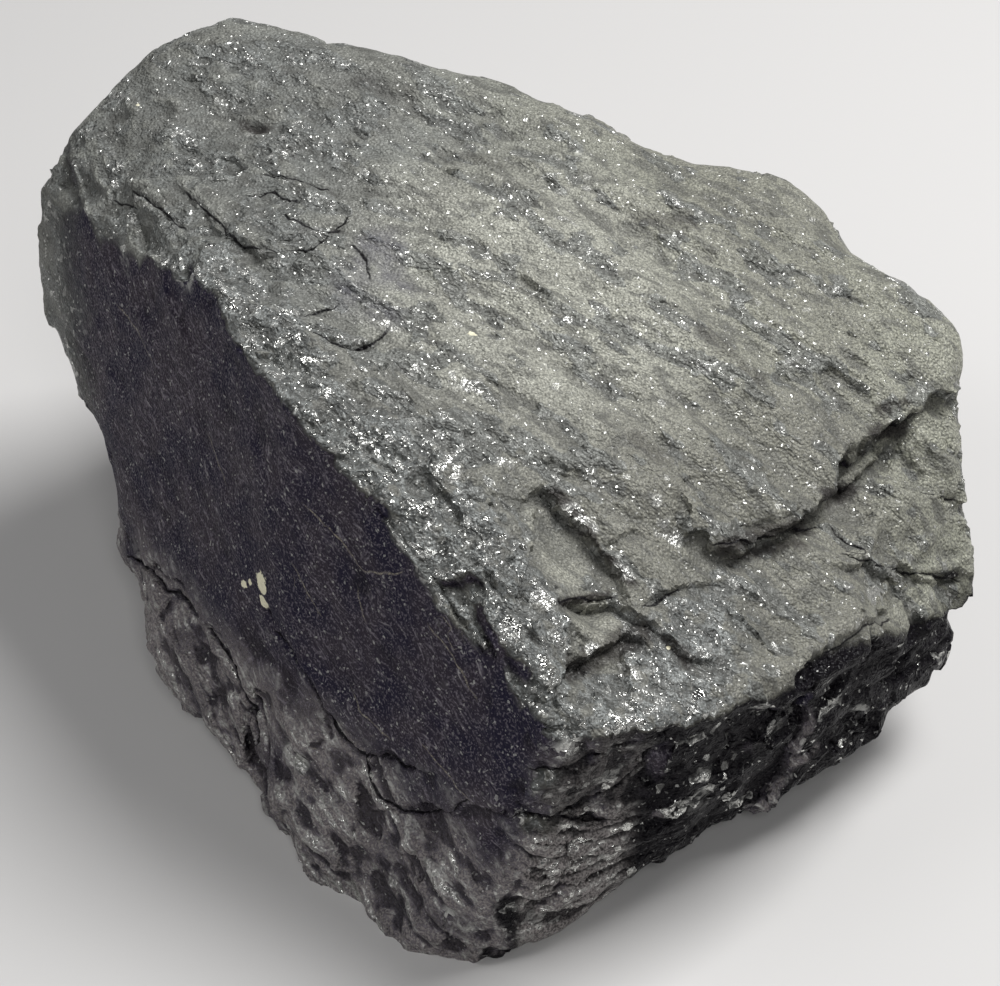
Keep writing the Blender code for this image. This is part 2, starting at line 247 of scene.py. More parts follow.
# Cracks: half-width, depth and path of each narrow groove.
CRACKS = {
    "right": (0.38, 1.1, ((66.4, -40.2, 52.5), (72.1, -39.5, 49.9), (80.9, -33.4, 41.9), (89.6, -28.4, 35.6))),
    "right_high": (0.4, 0.8, ((79.7, -21.5, 53.3), (88.8, -18.6, 47.6))),
    "right_mid": (0.4, 0.7, ((64.4, -34.9, 54.3), (68.9, -37.8, 52.6))),
    "arc": (0.4, 0.9, (
        (-57.9, 15.5, 95.6), (-52.4, 7.4, 95.2), (-48.2, 1.8, 94.5), (-44.3, -0.4, 94.8), (-39.5, -1.7, 94.6),
        (-33.9, -1.3, 94.8), (-31.3, 2.4, 95.2), (-27.8, 7.2, 95.4),
    )),
    "arc_up": (0.35, 0.6, ((-42.8, 20.1, 97.1), (-37.9, 18.4, 97.1), (-32, 16, 96.8))),
    "arc_in": (0.35, 0.6, ((-38.2, 7.5, 95.6), (-33.9, 4.3, 95.5), (-29.3, 4.1, 95.2))),
    "arc_mid": (0.35, 0.7, ((-46, 15.3, 96.4), (-42.1, 15.7, 96.6), (-38.5, 13.2, 96.4))),
    "arc_low": (0.35, 0.7, ((-32.5, -16.4, 91.4), (-28.9, -13.9, 91.4))),
    "dome": (0.4, 0.9, ((-69.1, 20.7, 92.9), (-64.6, 15.1, 93.3), (-61.5, 11.3, 93.6), (-59.2, 8.2, 93.8))),
    "dome_end": (0.35, 0.7, ((-73.5, 22.1, 90.1), (-71.2, 20, 91.1), (-69.3, 17.6, 91.2))),
    "tint_edge": (0.45, 0.9, ((-25.5, 0.4, 94.1), (-23.5, -1.6, 93.2), (-22.7, -5.1, 92))),
    "chevron": (0.4, 0.7, ((-31.1, -22.4, 90.1), (-26.6, -23.2, 89.1), (-22.1, -21.4, 88.3), (-18.6, -17.1, 88.5))),
    "star_left": (0.4, 0.9, ((20.5, -62.4, 62.7), (15.5, -64.4, 63.7), (11.9, -67.3, 65.9))),
    "star_right": (0.35, 0.7, ((33, -59, 60.5), (28, -62.6, 61.5))),
    "step_low": (0.5, 0.9, ((59.5, -35.8, 56), (56.1, -37.3, 56.9), (50.9, -42.9, 59), (41, -49.2, 63.1))),
    "left_plate": (0.45, 1.4, (
        (-39.7, -49.2, 41.2), (-36, -53.4, 39.3), (-32.4, -58.3, 35.1), (-28.9, -62.7, 30.6), (-25.1, -66.7, 27.7),
        (-23, -67.7, 28), (-19.3, -71.1, 31.5), (-15, -75.5, 33), (-12.2, -77.3, 35.4),
    )),
    "plate_foot": (0.35, 0.9, (
        (-23.1, -68, 27.2), (-21.9, -71.2, 24.4), (-19.5, -73.9, 22.4), (-16.7, -76.8, 22.8), (-12.4, -78.7, 24.9),
        (-8.1, -82, 28.5), (-4.6, -85.7, 35.1), (-1.3, -87.5, 35.6),
    )),
    "left_edge": (0.5, 1.4, (
        (-73.8, -6.1, 21.8), (-67.4, -17.5, 27.9), (-62.6, -23.6, 28.6), (-58.3, -29.3, 28), (-55.1, -33.8, 28.5),
        (-51.9, -39.5, 27.8), (-47.5, -44.7, 22.2), (-44, -52, 15),
    )),
    "nose_top": (0.45, 1.2, (
        (-1, -89, 36), (5.3, -89.9, 36.6), (9.3, -89.3, 35), (14.9, -86.8, 31.5), (19.7, -85.1, 30.3),
    )),
    "under_rim": (1.2, 2.4, ((54, -66, 46.5), (60, -60.5, 47), (67, -54, 47), (74, -46.5, 42.5))),
    "front_a": (0.4, 1.1, ((8.3, -90.1, 48.3), (15.2, -87.7, 47.9), (22.1, -84.7, 49.5), (30, -81, 49.5))),
    "front_b": (0.4, 1.1, (
        (8.5, -89.4, 36), (15.6, -86.5, 34.4), (22.6, -83.4, 37.3), (28, -81.9, 43.8), (36, -77, 45),
    )),
}

# How smooth noise makes paths wander: its spacing and its size.
FLAKE_WANDER = ((2.2, 0.5),)
CRACK_WANDER = ((4, 0.8), (1.5, 0.35))
RIDGE_WANDER = ((5, 0.9), (2, 0.4))
STAIN_WANDER = ((3.5, 0.9), (1.3, 0.5))
OFF_REACH = 4  # a path this far off the surface leaves no mark on it

# Pits: middle, radius along the grain, radius across it, depth.
PITS = {
    "oval": ((-46.6, 34, 99.4), 4.4, 1.6, 1.3),
    "mineral_hole": ((-41.1, -47.2, 44.1), 1.6, 1.3, 1.4),
}

# Dark patches: real dark, bare patches, and painted shade in the wedge's trench, along the broken step and round the
# oval pit: half-width, strength and path.
STAINS_AND_SHADE = (
    (1.5, 1.0, ((11.4, -47.6, 74.7), (14.8, -50.9, 71.6), (17.8, -53.8, 68.8))),
    (0.9, 1.0, ((17.8, -53.8, 68.8), (20.6, -56.1, 66.5), (23.3, -59, 64.5), (25.1, -60.5, 63.9))),
    (0.8, 1.0, ((11.9, -67.3, 65.9), (15.5, -64.4, 63.7), (21.2, -61.2, 62.6))),
    (2.5, 0.88, ((14.2, -77, 59.2), (19.2, -72, 58.2), (26, -67.4, 58.6))),
    (1.2, 0.9, ((31, -67.4, 56.9), (33.1, -68.9, 55.4), (35.2, -70.6, 53.2))),
    (1.9, 0.9, ((42, -49.2, 61.8), (45.8, -46.4, 62.4), (51.6, -43.1, 61.4), (58, -37, 58))),
    (1.0, 0.9, ((43.1, -48.2, 59.6), (51, -43.1, 57), (56.8, -41, 55.9))),
    (1.7, 1.0, ((61.6, -32.9, 60.9), (68.1, -23.3, 54.3))),
    (2.0, 1.0, ((72, -18, 63), (78.8, -10.3, 59.1))),
    (1.2, 0.9, ((73.7, -14.1, 66.4), (78.9, -11.1, 66.1))),
    (0.9, 0.9, ((-49.7, 35.6, 99.6), (-46.7, 34.2, 99.5), (-43.2, 32.5, 99.6))),
    (2.4, 0.5, ((-25.4, 45.7, 102.6), (-18.4, 43.9, 101.5))),
    (2.0, 0.5, ((28.8, 19.3, 88.5), (38.6, 18.9, 86.4))),
    (1.4, 0.5, ((39.3, -6.6, 79.7), (50.2, -15.7, 74.8))),
    (2.4, 0.5, ((26.8, -34.5, 75.5), (30.4, -36.7, 73.8))),
    (1.6, 0.5, ((-4.4, 29, 96.1), (1.5, 26.9, 95.1))),
)

# Thin light lines on the left side.
SCRATCHES = (
    (
        (-27.6, -53.5, 70), (-25.5, -55.8, 68.4), (-23.7, -57.7, 67), (-22.6, -58.9, 65.8), (-20, -60.9, 66.9),
        (-17.1, -62.6, 68.6),
    ),
    ((-32.2, -49.2, 71.4), (-30.4, -51, 70.6)),
    ((-9.7, -68.6, 68.2), (-7.6, -70.7, 67.1), (-6.7, -71.9, 65.9), (-4.8, -73.2, 65.5)),
    ((-9.7, -71.1, 62.1), (-7.1, -74.1, 60.1), (-4.9, -76.8, 58), (-3.3, -78.9, 56)),
    ((-35.1, -51.2, 58.9), (-33.3, -53.4, 56), (-31.8, -55.1, 54.4)),
    ((-23.6, -59.5, 60.8), (-22.8, -61.5, 57.9)),
    ((-40.5, -53.2, 26), (-38.4, -56.5, 25.1), (-35.7, -60.6, 25.6), (-31.9, -63.4, 25)),
    ((-25, -65.2, 41.7), (-23.2, -68.1, 39.4), (-20, -71.3, 38.4)),
    ((-71.5, 5.1, 76), (-67.6, -0.9, 74.8), (-65.4, -5.2, 72.3)),
    ((-10.8, -79.1, 40.6), (-7.8, -82.1, 38.7), (-5, -85, 36.7)),
    ((-5.9, -69.1, 68.7), (-3.6, -71.9, 66.6)),
    ((-52.6, -24.1, 67.2), (-50.2, -29.1, 64)),
)

BROW = ((17, -87, 43), 13)  # the glossy break under the front corner: middle and radius

# Flat breaks in the star, left smooth: middle and radius.
CALM = (
    ((13.5, -58, 70.5), 7.5), ((17.5, -67.5, 61.5), 6.0), ((19.5, -72, 59), 4.5), ((9.5, -53.5, 73), 4.0),
)

# Height of the front rim, by x + y along it.
RIM_RUN = (-79, -62.7, -43.5, -26.6, -14.2, 4.6, 20, 34, 60)
RIM_HEIGHT = (57, 52, 50.2, 49.2, 48.6, 48.4, 44.5, 39, 33)

BARE_RUN, BARE_MORE = (-90, -30, 30, 90), (0.02, 0.0, -0.10, -0.10)  # how much more is bare, by x along the top
# Painted sheen: the film is painted lighter round this middle, standing in for the main light's reflection on the top.
PAINTED_SHEEN_MIDDLE = (8, -4, 87)  # the middle of the palest part of the film
NOSE_CENTRE, NOSE_START, NOSE_END, NOSE_LAYER = (20, -80, 54), 22, 48, 2.6

# Bright flat breaks: middle, radius along the grain, radius across it.
GLINTS = (
    ((-3.4, -29.4, 83.5), 4.6, 2.0), ((-7.5, -47.3, 79.5), 2.6, 3.0), ((-70, 16.5, 90.4), 2.0, 1.6),
    ((-56.3, -7.2, 92.1), 1.8, 1.2), ((-19, -16.7, 88.7), 2.4, 1.5), ((12.5, -88.6, 53.7), 3.0, 2.2),
    ((71.6, -44.6, 45.5), 2.4, 2.6), ((32, -48.7, 65.7), 3.6, 2.2), ((15.6, -51, 71.8), 3.2, 1.9),
    ((8.9, -68.8, 67.7), 2.0, 1.8), ((29.2, -45.5, 70.5), 1.6, 1.4), ((27, -80, 55), 3.2, 2.6),
    ((-35.8, -62.6, 21.5), 5.5, 1.8), ((-9.3, -87.8, 16.9), 5.0, 2.0), ((-5.7, -91.7, 10.6), 4.0, 1.6),
    ((2.4, -43.9, 78.5), 1.6, 1.6), ((18, -74, 60), 2.4, 1.2), ((50, -62, 50), 2.0, 1.0),
    ((23.5, -58.4, 65.3), 2.4, 1.7), ((9.8, -69.5, 67), 2.2, 2.0), ((3.2, -74.8, 67.4), 3.0, 1.8),
    ((12, -75, 63.6), 3.4, 1.5), ((23.7, -74.3, 56.8), 2.4, 1.6), ((11.7, -89, 52.9), 3.4, 2.6),
    ((18.6, -85.8, 53.7), 2.4, 1.6),
)


def smooth_step(low, high, value):
    t = np.clip((value - low) / (high - low), 0, 1)
    return t * t * (3 - 2 * t)


def dot(points, way):
    return points @ np.asarray(way, dtype=float)


def unit(rows):
    return rows / np.maximum(np.linalg.norm(rows, axis=1, keepdims=True), 1e-9)


def away_from(points, centre, radius=1):
    """Distance from a place, in radii."""
    return np.linalg.norm(points - np.array(centre), axis=1) / radius


def waves(points, spacing):
    """Smooth noise of this spacing at each point, from -1 to 1."""
    return np.array([noise.noise(p) for p in (points / spacing).tolist()])


def wave_vectors(points, spacing):
    return np.array([noise.noise_vector(p)[:] for p in (points / spacing).tolist()])


def streaks(points, way, length, spacing):
    """Smooth noise drawn out along one direction."""
    along = np.outer(dot(points, way), way)
    return waves(along / length + (points - along) / spacing, 1)


def facets(points, width, slope):
    """Heights of flat facets about this wide, each tilted its own way."""
    cells = np.array([noise.voronoi(p)[1][0][:] for p in (points / width).tolist()]) * width
    tilt = wave_vectors(cells * TILT_SCALE, 1)
    return slope * np.sum((points - cells) * tilt, axis=1)


def cell_random(cells, salt):
    """Three values from -1 to 1 that depend only on the cell."""
    keys = np.array(((127.1, 311.7, 74.7), (269.5, 183.3, 246.1), (113.5, 271.9, 124.6)))
    return 2 * np.mod(np.sin(cells @ keys.T + salt) * 43758.5453, 1) - 1


def stretched(points, way, ratio):
    """The points pressed together along one direction, so that what is made there comes out longer."""
    return points - np.outer(dot(points, way), way) * (1 - 1 / ratio)


def scallops(points, width, way, ratio, lean, salt):
    """Leaning bowls about this wide that meet in sharp ridges, as a glassy break has."""
    drawn = stretched(points, way, ratio) / width + salt
    cells = np.array([[c[:] for c in noise.voronoi(p)[1]] for p in drawn.tolist()])
    away = drawn[:, None, :] - cells
    heights = np.sum(away * away, axis=2) + lean * np.sum(away * cell_random(cells, salt), axis=2)
    return heights.min(axis=1)


def add(height, points, share, size, field, *values):
    """Adds this much of a field to the heights, worked out only where its share counts."""
    rows = share > 0.02
    if rows.any():
        height[rows] += share[rows] * (size * field(points[rows], *values))


def headings(path):
    places = np.array(path, dtype=float)[:, :3]
    ways = [places[min(i + 1, len(path) - 1)] - places[max(i - 1, 0)] for i in range(len(path))]
    return unit(np.array(ways))


def nearest_on(path, points):
    """Distance, offset, heading and carried value at the nearest place on a path."""
    rows = np.array(path, dtype=float)
    ways = headings(path)
    best = np.full(len(points), np.inf)
    offset = np.zeros((len(points), 3))
    heading = np.zeros((len(points), 3))
    value = np.zeros(len(points))
    for i in range(len(rows) - 1):
        a, b = rows[i, :3], rows[i + 1, :3]
        share = np.clip(dot(points - a, b - a) / np.dot(b - a, b - a), 0, 1)
        away = points - (a + share[:, None] * (b - a))
        distance = np.linalg.norm(away, axis=1)
        nearer = distance < best
        best[nearer] = distance[nearer]
        offset[nearer] = away[nearer]
        turned = ways[i] + share[:, None] * (ways[i + 1] - ways[i])
        heading[nearer] = turned[nearer]
        if rows.shape[1] > 3:
            value[nearer] = (rows[i, 3] + share * (rows[i + 1, 3] - rows[i, 3]))[nearer]
    return best, offset, heading, value


def path_distance(path, points):
    return nearest_on(path, points)[0]


def close_to(path, points, reach):
    """Which points may lie this near to a path: those in its box, grown by the reach."""
    corners = np.array(path, dtype=float)[:, :3]
    return np.all((points > corners.min(axis=0) - reach) & (points < corners.max(axis=0) + reach), axis=1)


def wandering(points, noises):
    """The points, moved about by smooth noises of these spacings and sizes."""
    places = points
    for spacing, size in noises:
        places = places + size * wave_vectors(points, spacing)
    return places


def ledge_drop(points, normals, names, crispness):
    """How far the flakes that broke off along these ledges lower each place."""
    ragged = sum(size * wave_vectors(points, spacing) for spacing, size in RAGGED)
    places = points + ragged + FRAY * wave_vectors(points, FRAY_SPACING)
    total = np.zeros(len(points))
    for name in names:
        reach, path = LEDGES[name]
        rows = close_to(path, places, reach)
        distance, offset, heading, drop = nearest_on(path, places[rows])
        side = np.sum(unit(np.cross(normals[rows], heading)) * offset, axis=1)
        scar = smooth_step(-0.4 * crispness, 0.6 * crispness, side) * np.clip(1 - distance / reach, 0, 1) ** 1.4
        total[rows] += drop * scar
    return total


def scoop_drop(points):
    total = np.zeros(len(points))
    for centre, radius, depth in SCOOPS.values():
        share = away_from(points, centre, radius)
        total += depth * np.clip(1 - share * share, 0, 1) ** 2
    return total


def bed_shift(points, normals):
    """Beds seen edge-on stand proud or set back, each by its own amount."""
    edge_on = smooth_step(0.2, 0.8, 1 - np.abs(dot(normals, BEDDING)))
    height = dot(points, BEDDING) / BED + BED_WAVE * waves(points, 30)
    bed = np.floor(height)
    share = smooth_step(0.0, 0.25, height - bed)

    def proud(number):
        rows = np.stack((number * 5.37, points[:, 0] / BED_RUN, points[:, 1] / BED_RUN), axis=1)
        return waves(rows, 1)

    below = proud(bed - 1)
    return edge_on * (below + (proud(bed) - below) * share)


def roughness(points, normals, level):
    """How rough each place is: less on the smooth left face, on the top and at the worn end."""
    cleat = smooth_step(0.86, 0.96, dot(normals, CLEAT)) * smooth_step(18, 38, points[:, 2])
    worn = 1 - smooth_step(0.5, 1.0, away_from(points, *WORN))
    return 1 - np.maximum.reduce((0.85 * cleat, 0.80 * level, 0.75 * worn))


def main_relief(points, normals):
    """The relief that the solid also has."""
    level = smooth_step(0.80, 0.95, dot(normals, BEDDING))
    rough = roughness(points, normals, level)
    height = SWELL * waves(points, SWELL_SPACING)
    height += RIPPLE * rough * waves(points, RIPPLE_SPACING)
    height += RIDGE * level * streaks(points, GRAIN, RIDGE_LENGTH, RIDGE_SPACING)
    for width, slope in FACETS:
        height += (1 - level) * rough * facets(points, width, slope)
    height += BED_STEP * rough * bed_shift(points, normals)
    main = [name for name in LEDGES if name not in FINE_LEDGES]
    return height - ledge_drop(points, normals, main, 0.7) - scoop_drop(points)


def beside(path, points, normals, reach):
    """What lies near a path: which points, how far along the surface and to its left, and its carried value."""
    rows = close_to(path, points, reach + OFF_REACH)
    _, offset, heading, value = nearest_on(path, points[rows])
    off = np.sum(offset * normals[rows], axis=1)
    level_offset = offset - off[:, None] * normals[rows]
    distance = np.linalg.norm(level_offset, axis=1)
    distance[np.abs(off) >= OFF_REACH] = np.inf
    side = np.sum(unit(np.cross(normals[rows], heading)) * level_offset, axis=1)
    return rows, distance, side, value


def flake_drop(points, normals):
    places = wandering(points, FLAKE_WANDER)
    total = np.zeros(len(points))
    for reach, path in FLAKES.values():
        rows, distance, side, drop = beside(path, places, normals, reach)
        total[rows] += drop * smooth_step(-0.25, 0.35, side) * np.clip(1 - distance / reach, 0, 1) ** 1.5
    return total


def crack_depth(points, normals):
    places = wandering(points, CRACK_WANDER)
    total = np.zeros(len(points))
    for half, depth, path in CRACKS.values():
        rows, distance, _, _ = beside(path, places, normals, 1.7 * half)
        groove = 0.7 * depth * (1 - smooth_step(0.2 * half, 1.7 * half, distance))
        total[rows] = np.maximum(total[rows], groove)
    return total


def pit_depth(points):
    total = np.zeros(len(points))
    for centre, long, wide, depth in PITS.values():
        total += depth * np.clip(1 - spot_share(points, centre, long, wide) ** 2, 0, 1)
    return total


def spot_share(points, centre, long, wide):
    """How far each point is from a drawn-out spot's middle, 1 at its edge."""
    away = points - np.array(centre)
    along = dot(away, GRAIN)
    across = np.linalg.norm(away - np.outer(along, GRAIN), axis=1)
    return np.sqrt((along / long) ** 2 + (across / wide) ** 2)


def ridge_lift(points):
    places = wandering(points, RIDGE_WANDER)
    total = np.zeros(len(points))
    for height, width, path in RIDGES.values():
        rows = close_to(path, places, width)
        distance = path_distance(path, places[rows])
        total[rows] = np.maximum(total[rows], height * np.clip(1 - distance / width, 0, 1) ** 1.3)
    return total


def calm_share(points):
    total = np.zeros(len(points))
    for centre, radius in CALM:
        total = np.maximum(total, 1 - smooth_step(0.75, 1.1, away_from(points, centre, radius)))
    return total


def face_kinds(points, normals):
    """How far each place belongs to the top, the crest, the smooth left face, and the left and front breaks."""
    level = smooth_step(0.55, 0.88, dot(normals, BEDDING))
    cleat = smooth_step(0.80, 0.92, dot(normals, CLEAT)) * smooth_step(18, 36, points[:, 2])
    cleat *= 1 - level
    broken = 1 - level - cleat
    leftward = smooth_step(-0.25, 0.25, dot(normals, LEFTWARD))
    crest = (1 - smooth_step(4, 20, path_distance(CREST, points))) * level
    return level, crest, cleat, broken * leftward, broken * (1 - leftward)


def shells(points):
    """Curved layers round the nose."""
    distance = away_from(points, NOSE_CENTRE)
    share = smooth_step(NOSE_START, NOSE_START + 6, distance) * (1 - smooth_step(NOSE_END - 8, NOSE_END, distance))
    layer = distance / NOSE_LAYER + 0.35 * waves(points, 5) + 0.3 * waves(points, 14)
    saw = np.mod(layer, 1)
    return share * (saw + 0.5 * waves(np.stack((layer * 1.7, 0 * layer, 0 * layer), axis=1), 1))


def terraces(points, way, length, spacing, number):
    """Nearly flat plates drawn out along one direction, with a sharp edge between them."""
    rise = number * streaks(points, way, length, spacing) + 0.4 * waves(points, 3.5)
    plate = np.floor(rise)
    return plate + 0.15 * (rise - plate) + 0.85 * smooth_step(0.80, 1, rise - plate)


def bare_patches(points):
    """Drawn-out patches of the top where thin flakes have come off and the film is gone."""
    pattern = 0.6 * streaks(points, GRAIN, 15, 5.5) + 0.4 * streaks(points, GRAIN, 5, 2.4)
    more = np.interp(points[:, 0], BARE_RUN, BARE_MORE)
    return smooth_step(-0.02, 0.14, pattern + more)


def small_relief(points, normals):
    """The relief too small for the solid."""
    level, crest, cleat, left, front = face_kinds(points, normals)
    bare = bare_patches(points)
    near_rim = 1 - smooth_step(3, 13, path_distance(TOP_RIM, points))
    height = np.zeros(len(points))
    add(height, points, level * (0.30 + 0.70 * bare), 1.1, scallops, 8, GRAIN, 2.4, 1.0, 3)
    add(height, points, level * (0.20 + 0.80 * bare), 1.0, scallops, 3.8, GRAIN, 2.0, 1.1, 17)
    add(height, points, level, 0.42, terraces, GRAIN, 34, 9, 3.4)
    height -= 0.30 * level * bare
    for share, size, field, *values in (
        (crest, 1.5, scallops, 5.0, GRAIN, 1.4, 1.2, 29),
        (crest + front, 0.75, scallops, 2.8, FRONT_GRAIN, 2.0, 1.2, 41),
        (left, 1.6, scallops, 9, LEFT_GRAIN, 3.0, 0.9, 53),
        (left, 0.9, scallops, 3.4, LEFT_GRAIN, 2.4, 1.1, 61),
        (left, 0.5, terraces, LEFT_GRAIN, 24, 7, 3.0),
        (front, 2.4, scallops, 7.5, FRONT_GRAIN, 2.6, 1.0, 73),
        (cleat, 0.45, scallops, 7, LEFT_GRAIN, 3.0, 0.8, 89),
    ):
        add(height, points, share, size, field, *values)
    height += 0.12 * level * streaks(points, GRAIN, 13, 1.9)
    height *= 1 - 0.75 * near_rim
    x, _, z = points.T
    nose = smooth_step(3, 8, x) * (1 - smooth_step(32, 40, x)) * (1 - level) * (1 - smooth_step(30, 36, z))
    height *= 1 - 0.7 * nose
    add(height, points, nose, 1.3, shells)
    height += (1 - 0.6 * cleat) * 0.05 * waves(points, 1.4)
    height *= 1 - 0.85 * calm_share(points)
    height += ridge_lift(points) - pit_depth(points)
    height -= flake_drop(points, normals) + crack_depth(points, normals)
    return height - ledge_drop(points, normals, FINE_LEDGES, 0.35)


# ---------------------------------------------------------------- mesh steps


def block():
    """The convex block round all the corners."""
    shape = bmesh.new()
    for group in (CREST, TOP_RIM, FRONT_RIM, LEFT_END, RIGHT_END, BACK, FOOT, UNDERSIDE):
        for corner in group:
            shape.verts.new(corner)
    hull = bmesh.ops.convex_hull(shape, input=shape.verts)
    inside = [v for v in hull["geom_interior"] if isinstance(v, bmesh.types.BMVert)]
    bmesh.ops.delete(shape, geom=inside, context="VERTS")
    bmesh.ops.recalc_face_normals(shape, faces=shape.faces)
    return shape


def modified(shape, kind, **settings):
    """The shape after one modifier."""
    mesh = bpy.data.meshes.new("work")
    shape.to_mesh(mesh)
    shape.free()
    work = bpy.data.objects.new("work", mesh)
    bpy.context.scene.collection.objects.link(work)
    modifier = work.modifiers.new(kind, kind)
    for name, value in settings.items():
        setattr(modifier, name, value)
    result = bmesh.new()
    result.from_object(work, bpy.context.evaluated_depsgraph_get())
    bpy.data.objects.remove(work)
    bpy.data.meshes.remove(mesh)
    return result


def smoothed(shape, rounds):
    for _ in range(rounds):
        bmesh.ops.smooth_vert(
            shape, verts=shape.verts, factor=0.5, use_axis_x=True, use_axis_y=True, use_axis_z=True
        )


def displaced(shape, relief):
    """Moves every point along its normal by the relief there."""
    shape.normal_update()
    points = np.array([v.co[:] for v in shape.verts])
    normals = np.array([v.normal[:] for v in shape.verts])
    moved = points + normals * relief(points, normals)[:, None]
    for vert, place in zip(shape.verts, moved.tolist()):
        vert.co = place


def cut_flat(shape):
    """Takes off what lies under the resting plane, and closes the cut with one flat face."""
    everything = list(shape.verts) + list(shape.edges) + list(shape.faces)
    cut = bmesh.ops.bisect_plane(
        shape, geom=everything, dist=0.02, plane_co=(0, 0, 0), plane_no=(0, 0, -1), clear_outer=True
    )
    rim = [e for e in cut["geom_cut"] if isinstance(e, bmesh.types.BMEdge)]
    closed = bmesh.ops.edgeloop_fill(shape, edges=rim)
    bmesh.ops.triangulate(shape, faces=closed["faces"])


def kept_inside(shape, box):
    """Presses the few points that stand outside the solid's box back onto it."""
    low, high = box
    for vert in shape.verts:
        vert.co = [min(max(c, lo), hi) for c, lo, hi in zip(vert.co, low, high)]


def lump_mesh(settings):
    """The whole lump, from its block to the finished mesh."""
    noise.seed_set(SEED)
    shape = modified(block(), "REMESH", mode="VOXEL", voxel_size=BLOCK_GRID)
    smoothed(shape, EDGE_WEAR)
    bmesh.ops.subdivide_edges(shape, edges=shape.edges, cuts=1, use_grid_fill=True)
    smoothed(shape, 1)
    displaced(shape, main_relief)
    shape = modified(shape, "REMESH", mode="VOXEL", voxel_size=settings.grid / MM)
    smoothed(shape, 1)
    displaced(shape, small_relief)
    cut_flat(shape)
    bmesh.ops.triangulate(shape, faces=shape.faces)
    ratio = settings.triangles / len(shape.faces)
    if ratio < 1:
        shape = modified(shape, "DECIMATE", ratio=ratio)
    bmesh.ops.translate(shape, vec=-BLOCK_CENTRE, verts=shape.verts)
    bmesh.ops.scale(shape, vec=(MM, MM, MM), verts=shape.verts)
    kept_inside(shape, CAD_BOX)
    bmesh.ops.recalc_face_normals(shape, faces=shape.faces)
    mesh = bpy.data.meshes.new("coal")
    shape.to_mesh(mesh)
    shape.free()
    mesh.polygons.foreach_set("use_smooth", [True] * len(mesh.polygons))
    mesh.set_sharp_from_angle(angle=settings.sharp_angle)
    paint_masks(mesh)
    return mesh


def averaged(mesh, values, rounds):
    """The points' values, each averaged with its neighbours' this many times."""
    count = len(mesh.vertices)
    ends = np.zeros(len(mesh.edges) * 2, dtype=np.int64)
    mesh.edges.foreach_get("vertices", ends)
    starts, ends = ends[0::2], ends[1::2]
    share = 1 + np.bincount(starts, minlength=count) + np.bincount(ends, minlength=count)
    for _ in range(rounds):
        total = values.copy()
        for axis in range(3):
            total[:, axis] += np.bincount(starts, values[ends, axis], count)
            total[:, axis] += np.bincount(ends, values[starts, axis], count)
        values = total / share[:, None]
    return values


def point_values(mesh, name):
    """One vector for each point of the mesh."""
    values = np.zeros(len(mesh.vertices) * 3)
    mesh.vertices.foreach_get(name, values)
    return values.reshape(-1, 3)


def band_share(bands, points, normals):
    """How far each place is in one of the bands, 1 in the middle of a strong one."""
    places = wandering(points, STAIN_WANDER)
    total = np.zeros(len(points))
    for half, strength, path in bands:
        rows, distance, _, _ = beside(path, places, normals, 1.3 * half)
        band = strength * (1 - smooth_step(0.6 * half, 1.3 * half, distance))
        total[rows] = np.maximum(total[rows], band)
    return total


def thin_lines(paths, points, normals):
    """How far across the nearest of the lines each place is, in millimetres either way, and how near it is."""
    places = wandering(points, CRACK_WANDER)
    best = np.full(len(points), OFF_REACH, dtype=float)
    across = best.copy()
    for path in paths:
        rows, distance, side, _ = beside(path, places, normals, OFF_REACH)
        nearer = distance < best[rows]
        changed = np.flatnonzero(rows)[nearer]
        best[changed] = distance[nearer]
        across[changed] = side[nearer]
    return across, 1 - smooth_step(1.0, 2.2, best)


def film_and_sheen_share(points, facing_up):
    """How much grey film lies on each place: on the top, the broken step's wall and the left end. The film's light
    colour is partly real film and partly a painted sheen, which makes these places lighter than the dark sides.
    """
    x, y, z = points.T
    worn = 1 - smooth_step(0.6, 1.2, away_from(points, *WORN))
    film = smooth_step(0.42, 0.56, facing_up + 0.25 * worn + 0.06 * waves(points, 4))
    under_rim = smooth_step(0.5, 2.5, np.interp(x + y, RIM_RUN, RIM_HEIGHT) - z + 1.5 * waves(points, 5))
    film *= 1 - under_rim * smooth_step(8, 14, x) * (1 - smooth_step(-30, -20, y))
    film *= smooth_step(28, 38, z)
    distance = path_distance(LEDGES["broken_step"][1], points)
    wall = (1 - smooth_step(5, 9, distance)) * smooth_step(-0.1, 0.2, facing_up)
    end = (1 - smooth_step(-90, -78, x + 3 * waves(points, 8))) * smooth_step(28, 55, z)
    return np.maximum(np.maximum(film, 0.85 * wall), 0.9 * end)


def crest_share(points, film):
    """Where the film is broken: along the crest and low at the front."""
    x, _, z = points.T
    crest = (1 - smooth_step(3, 22, path_distance(CREST, points) + 5 * waves(points, 9))) * film
    return np.maximum(crest, film * (1 - smooth_step(56, 64, z)) * (1 - smooth_step(36, 52, x)))


def lit_share(points, film, left):
    """The glossy breaks round the nose, low on the left and under the front corner, which also carry a painted
    highlight.
    """
    x, _, z = points.T
    nose = smooth_step(4, 6, x) * (1 - smooth_step(21, 27, x)) * (1 - smooth_step(31, 36, z))
    low = left * (1 - smooth_step(24, 40, z)) * smooth_step(-0.5, 0.4, waves(points, 12) + 0.3)
    brow = 1 - smooth_step(0.6, 1.1, away_from(points, *BROW))
    return (1 - film) * np.clip(np.maximum.reduce((nose, 0.9 * low, 0.35 * brow)), 0, 1)


def glint_share(points):
    """Where the bright flat breaks are, with ragged edges."""
    fine, coarse = 0.5 * waves(points, 1.6), 0.4 * waves(points, 3.1)
    total = np.zeros(len(points))
    for centre, long, wide in GLINTS:
        share = spot_share(points, centre, long, wide) + fine + coarse
        total = np.maximum(total, 1 - smooth_step(0.6, 1.2, share))
    return total


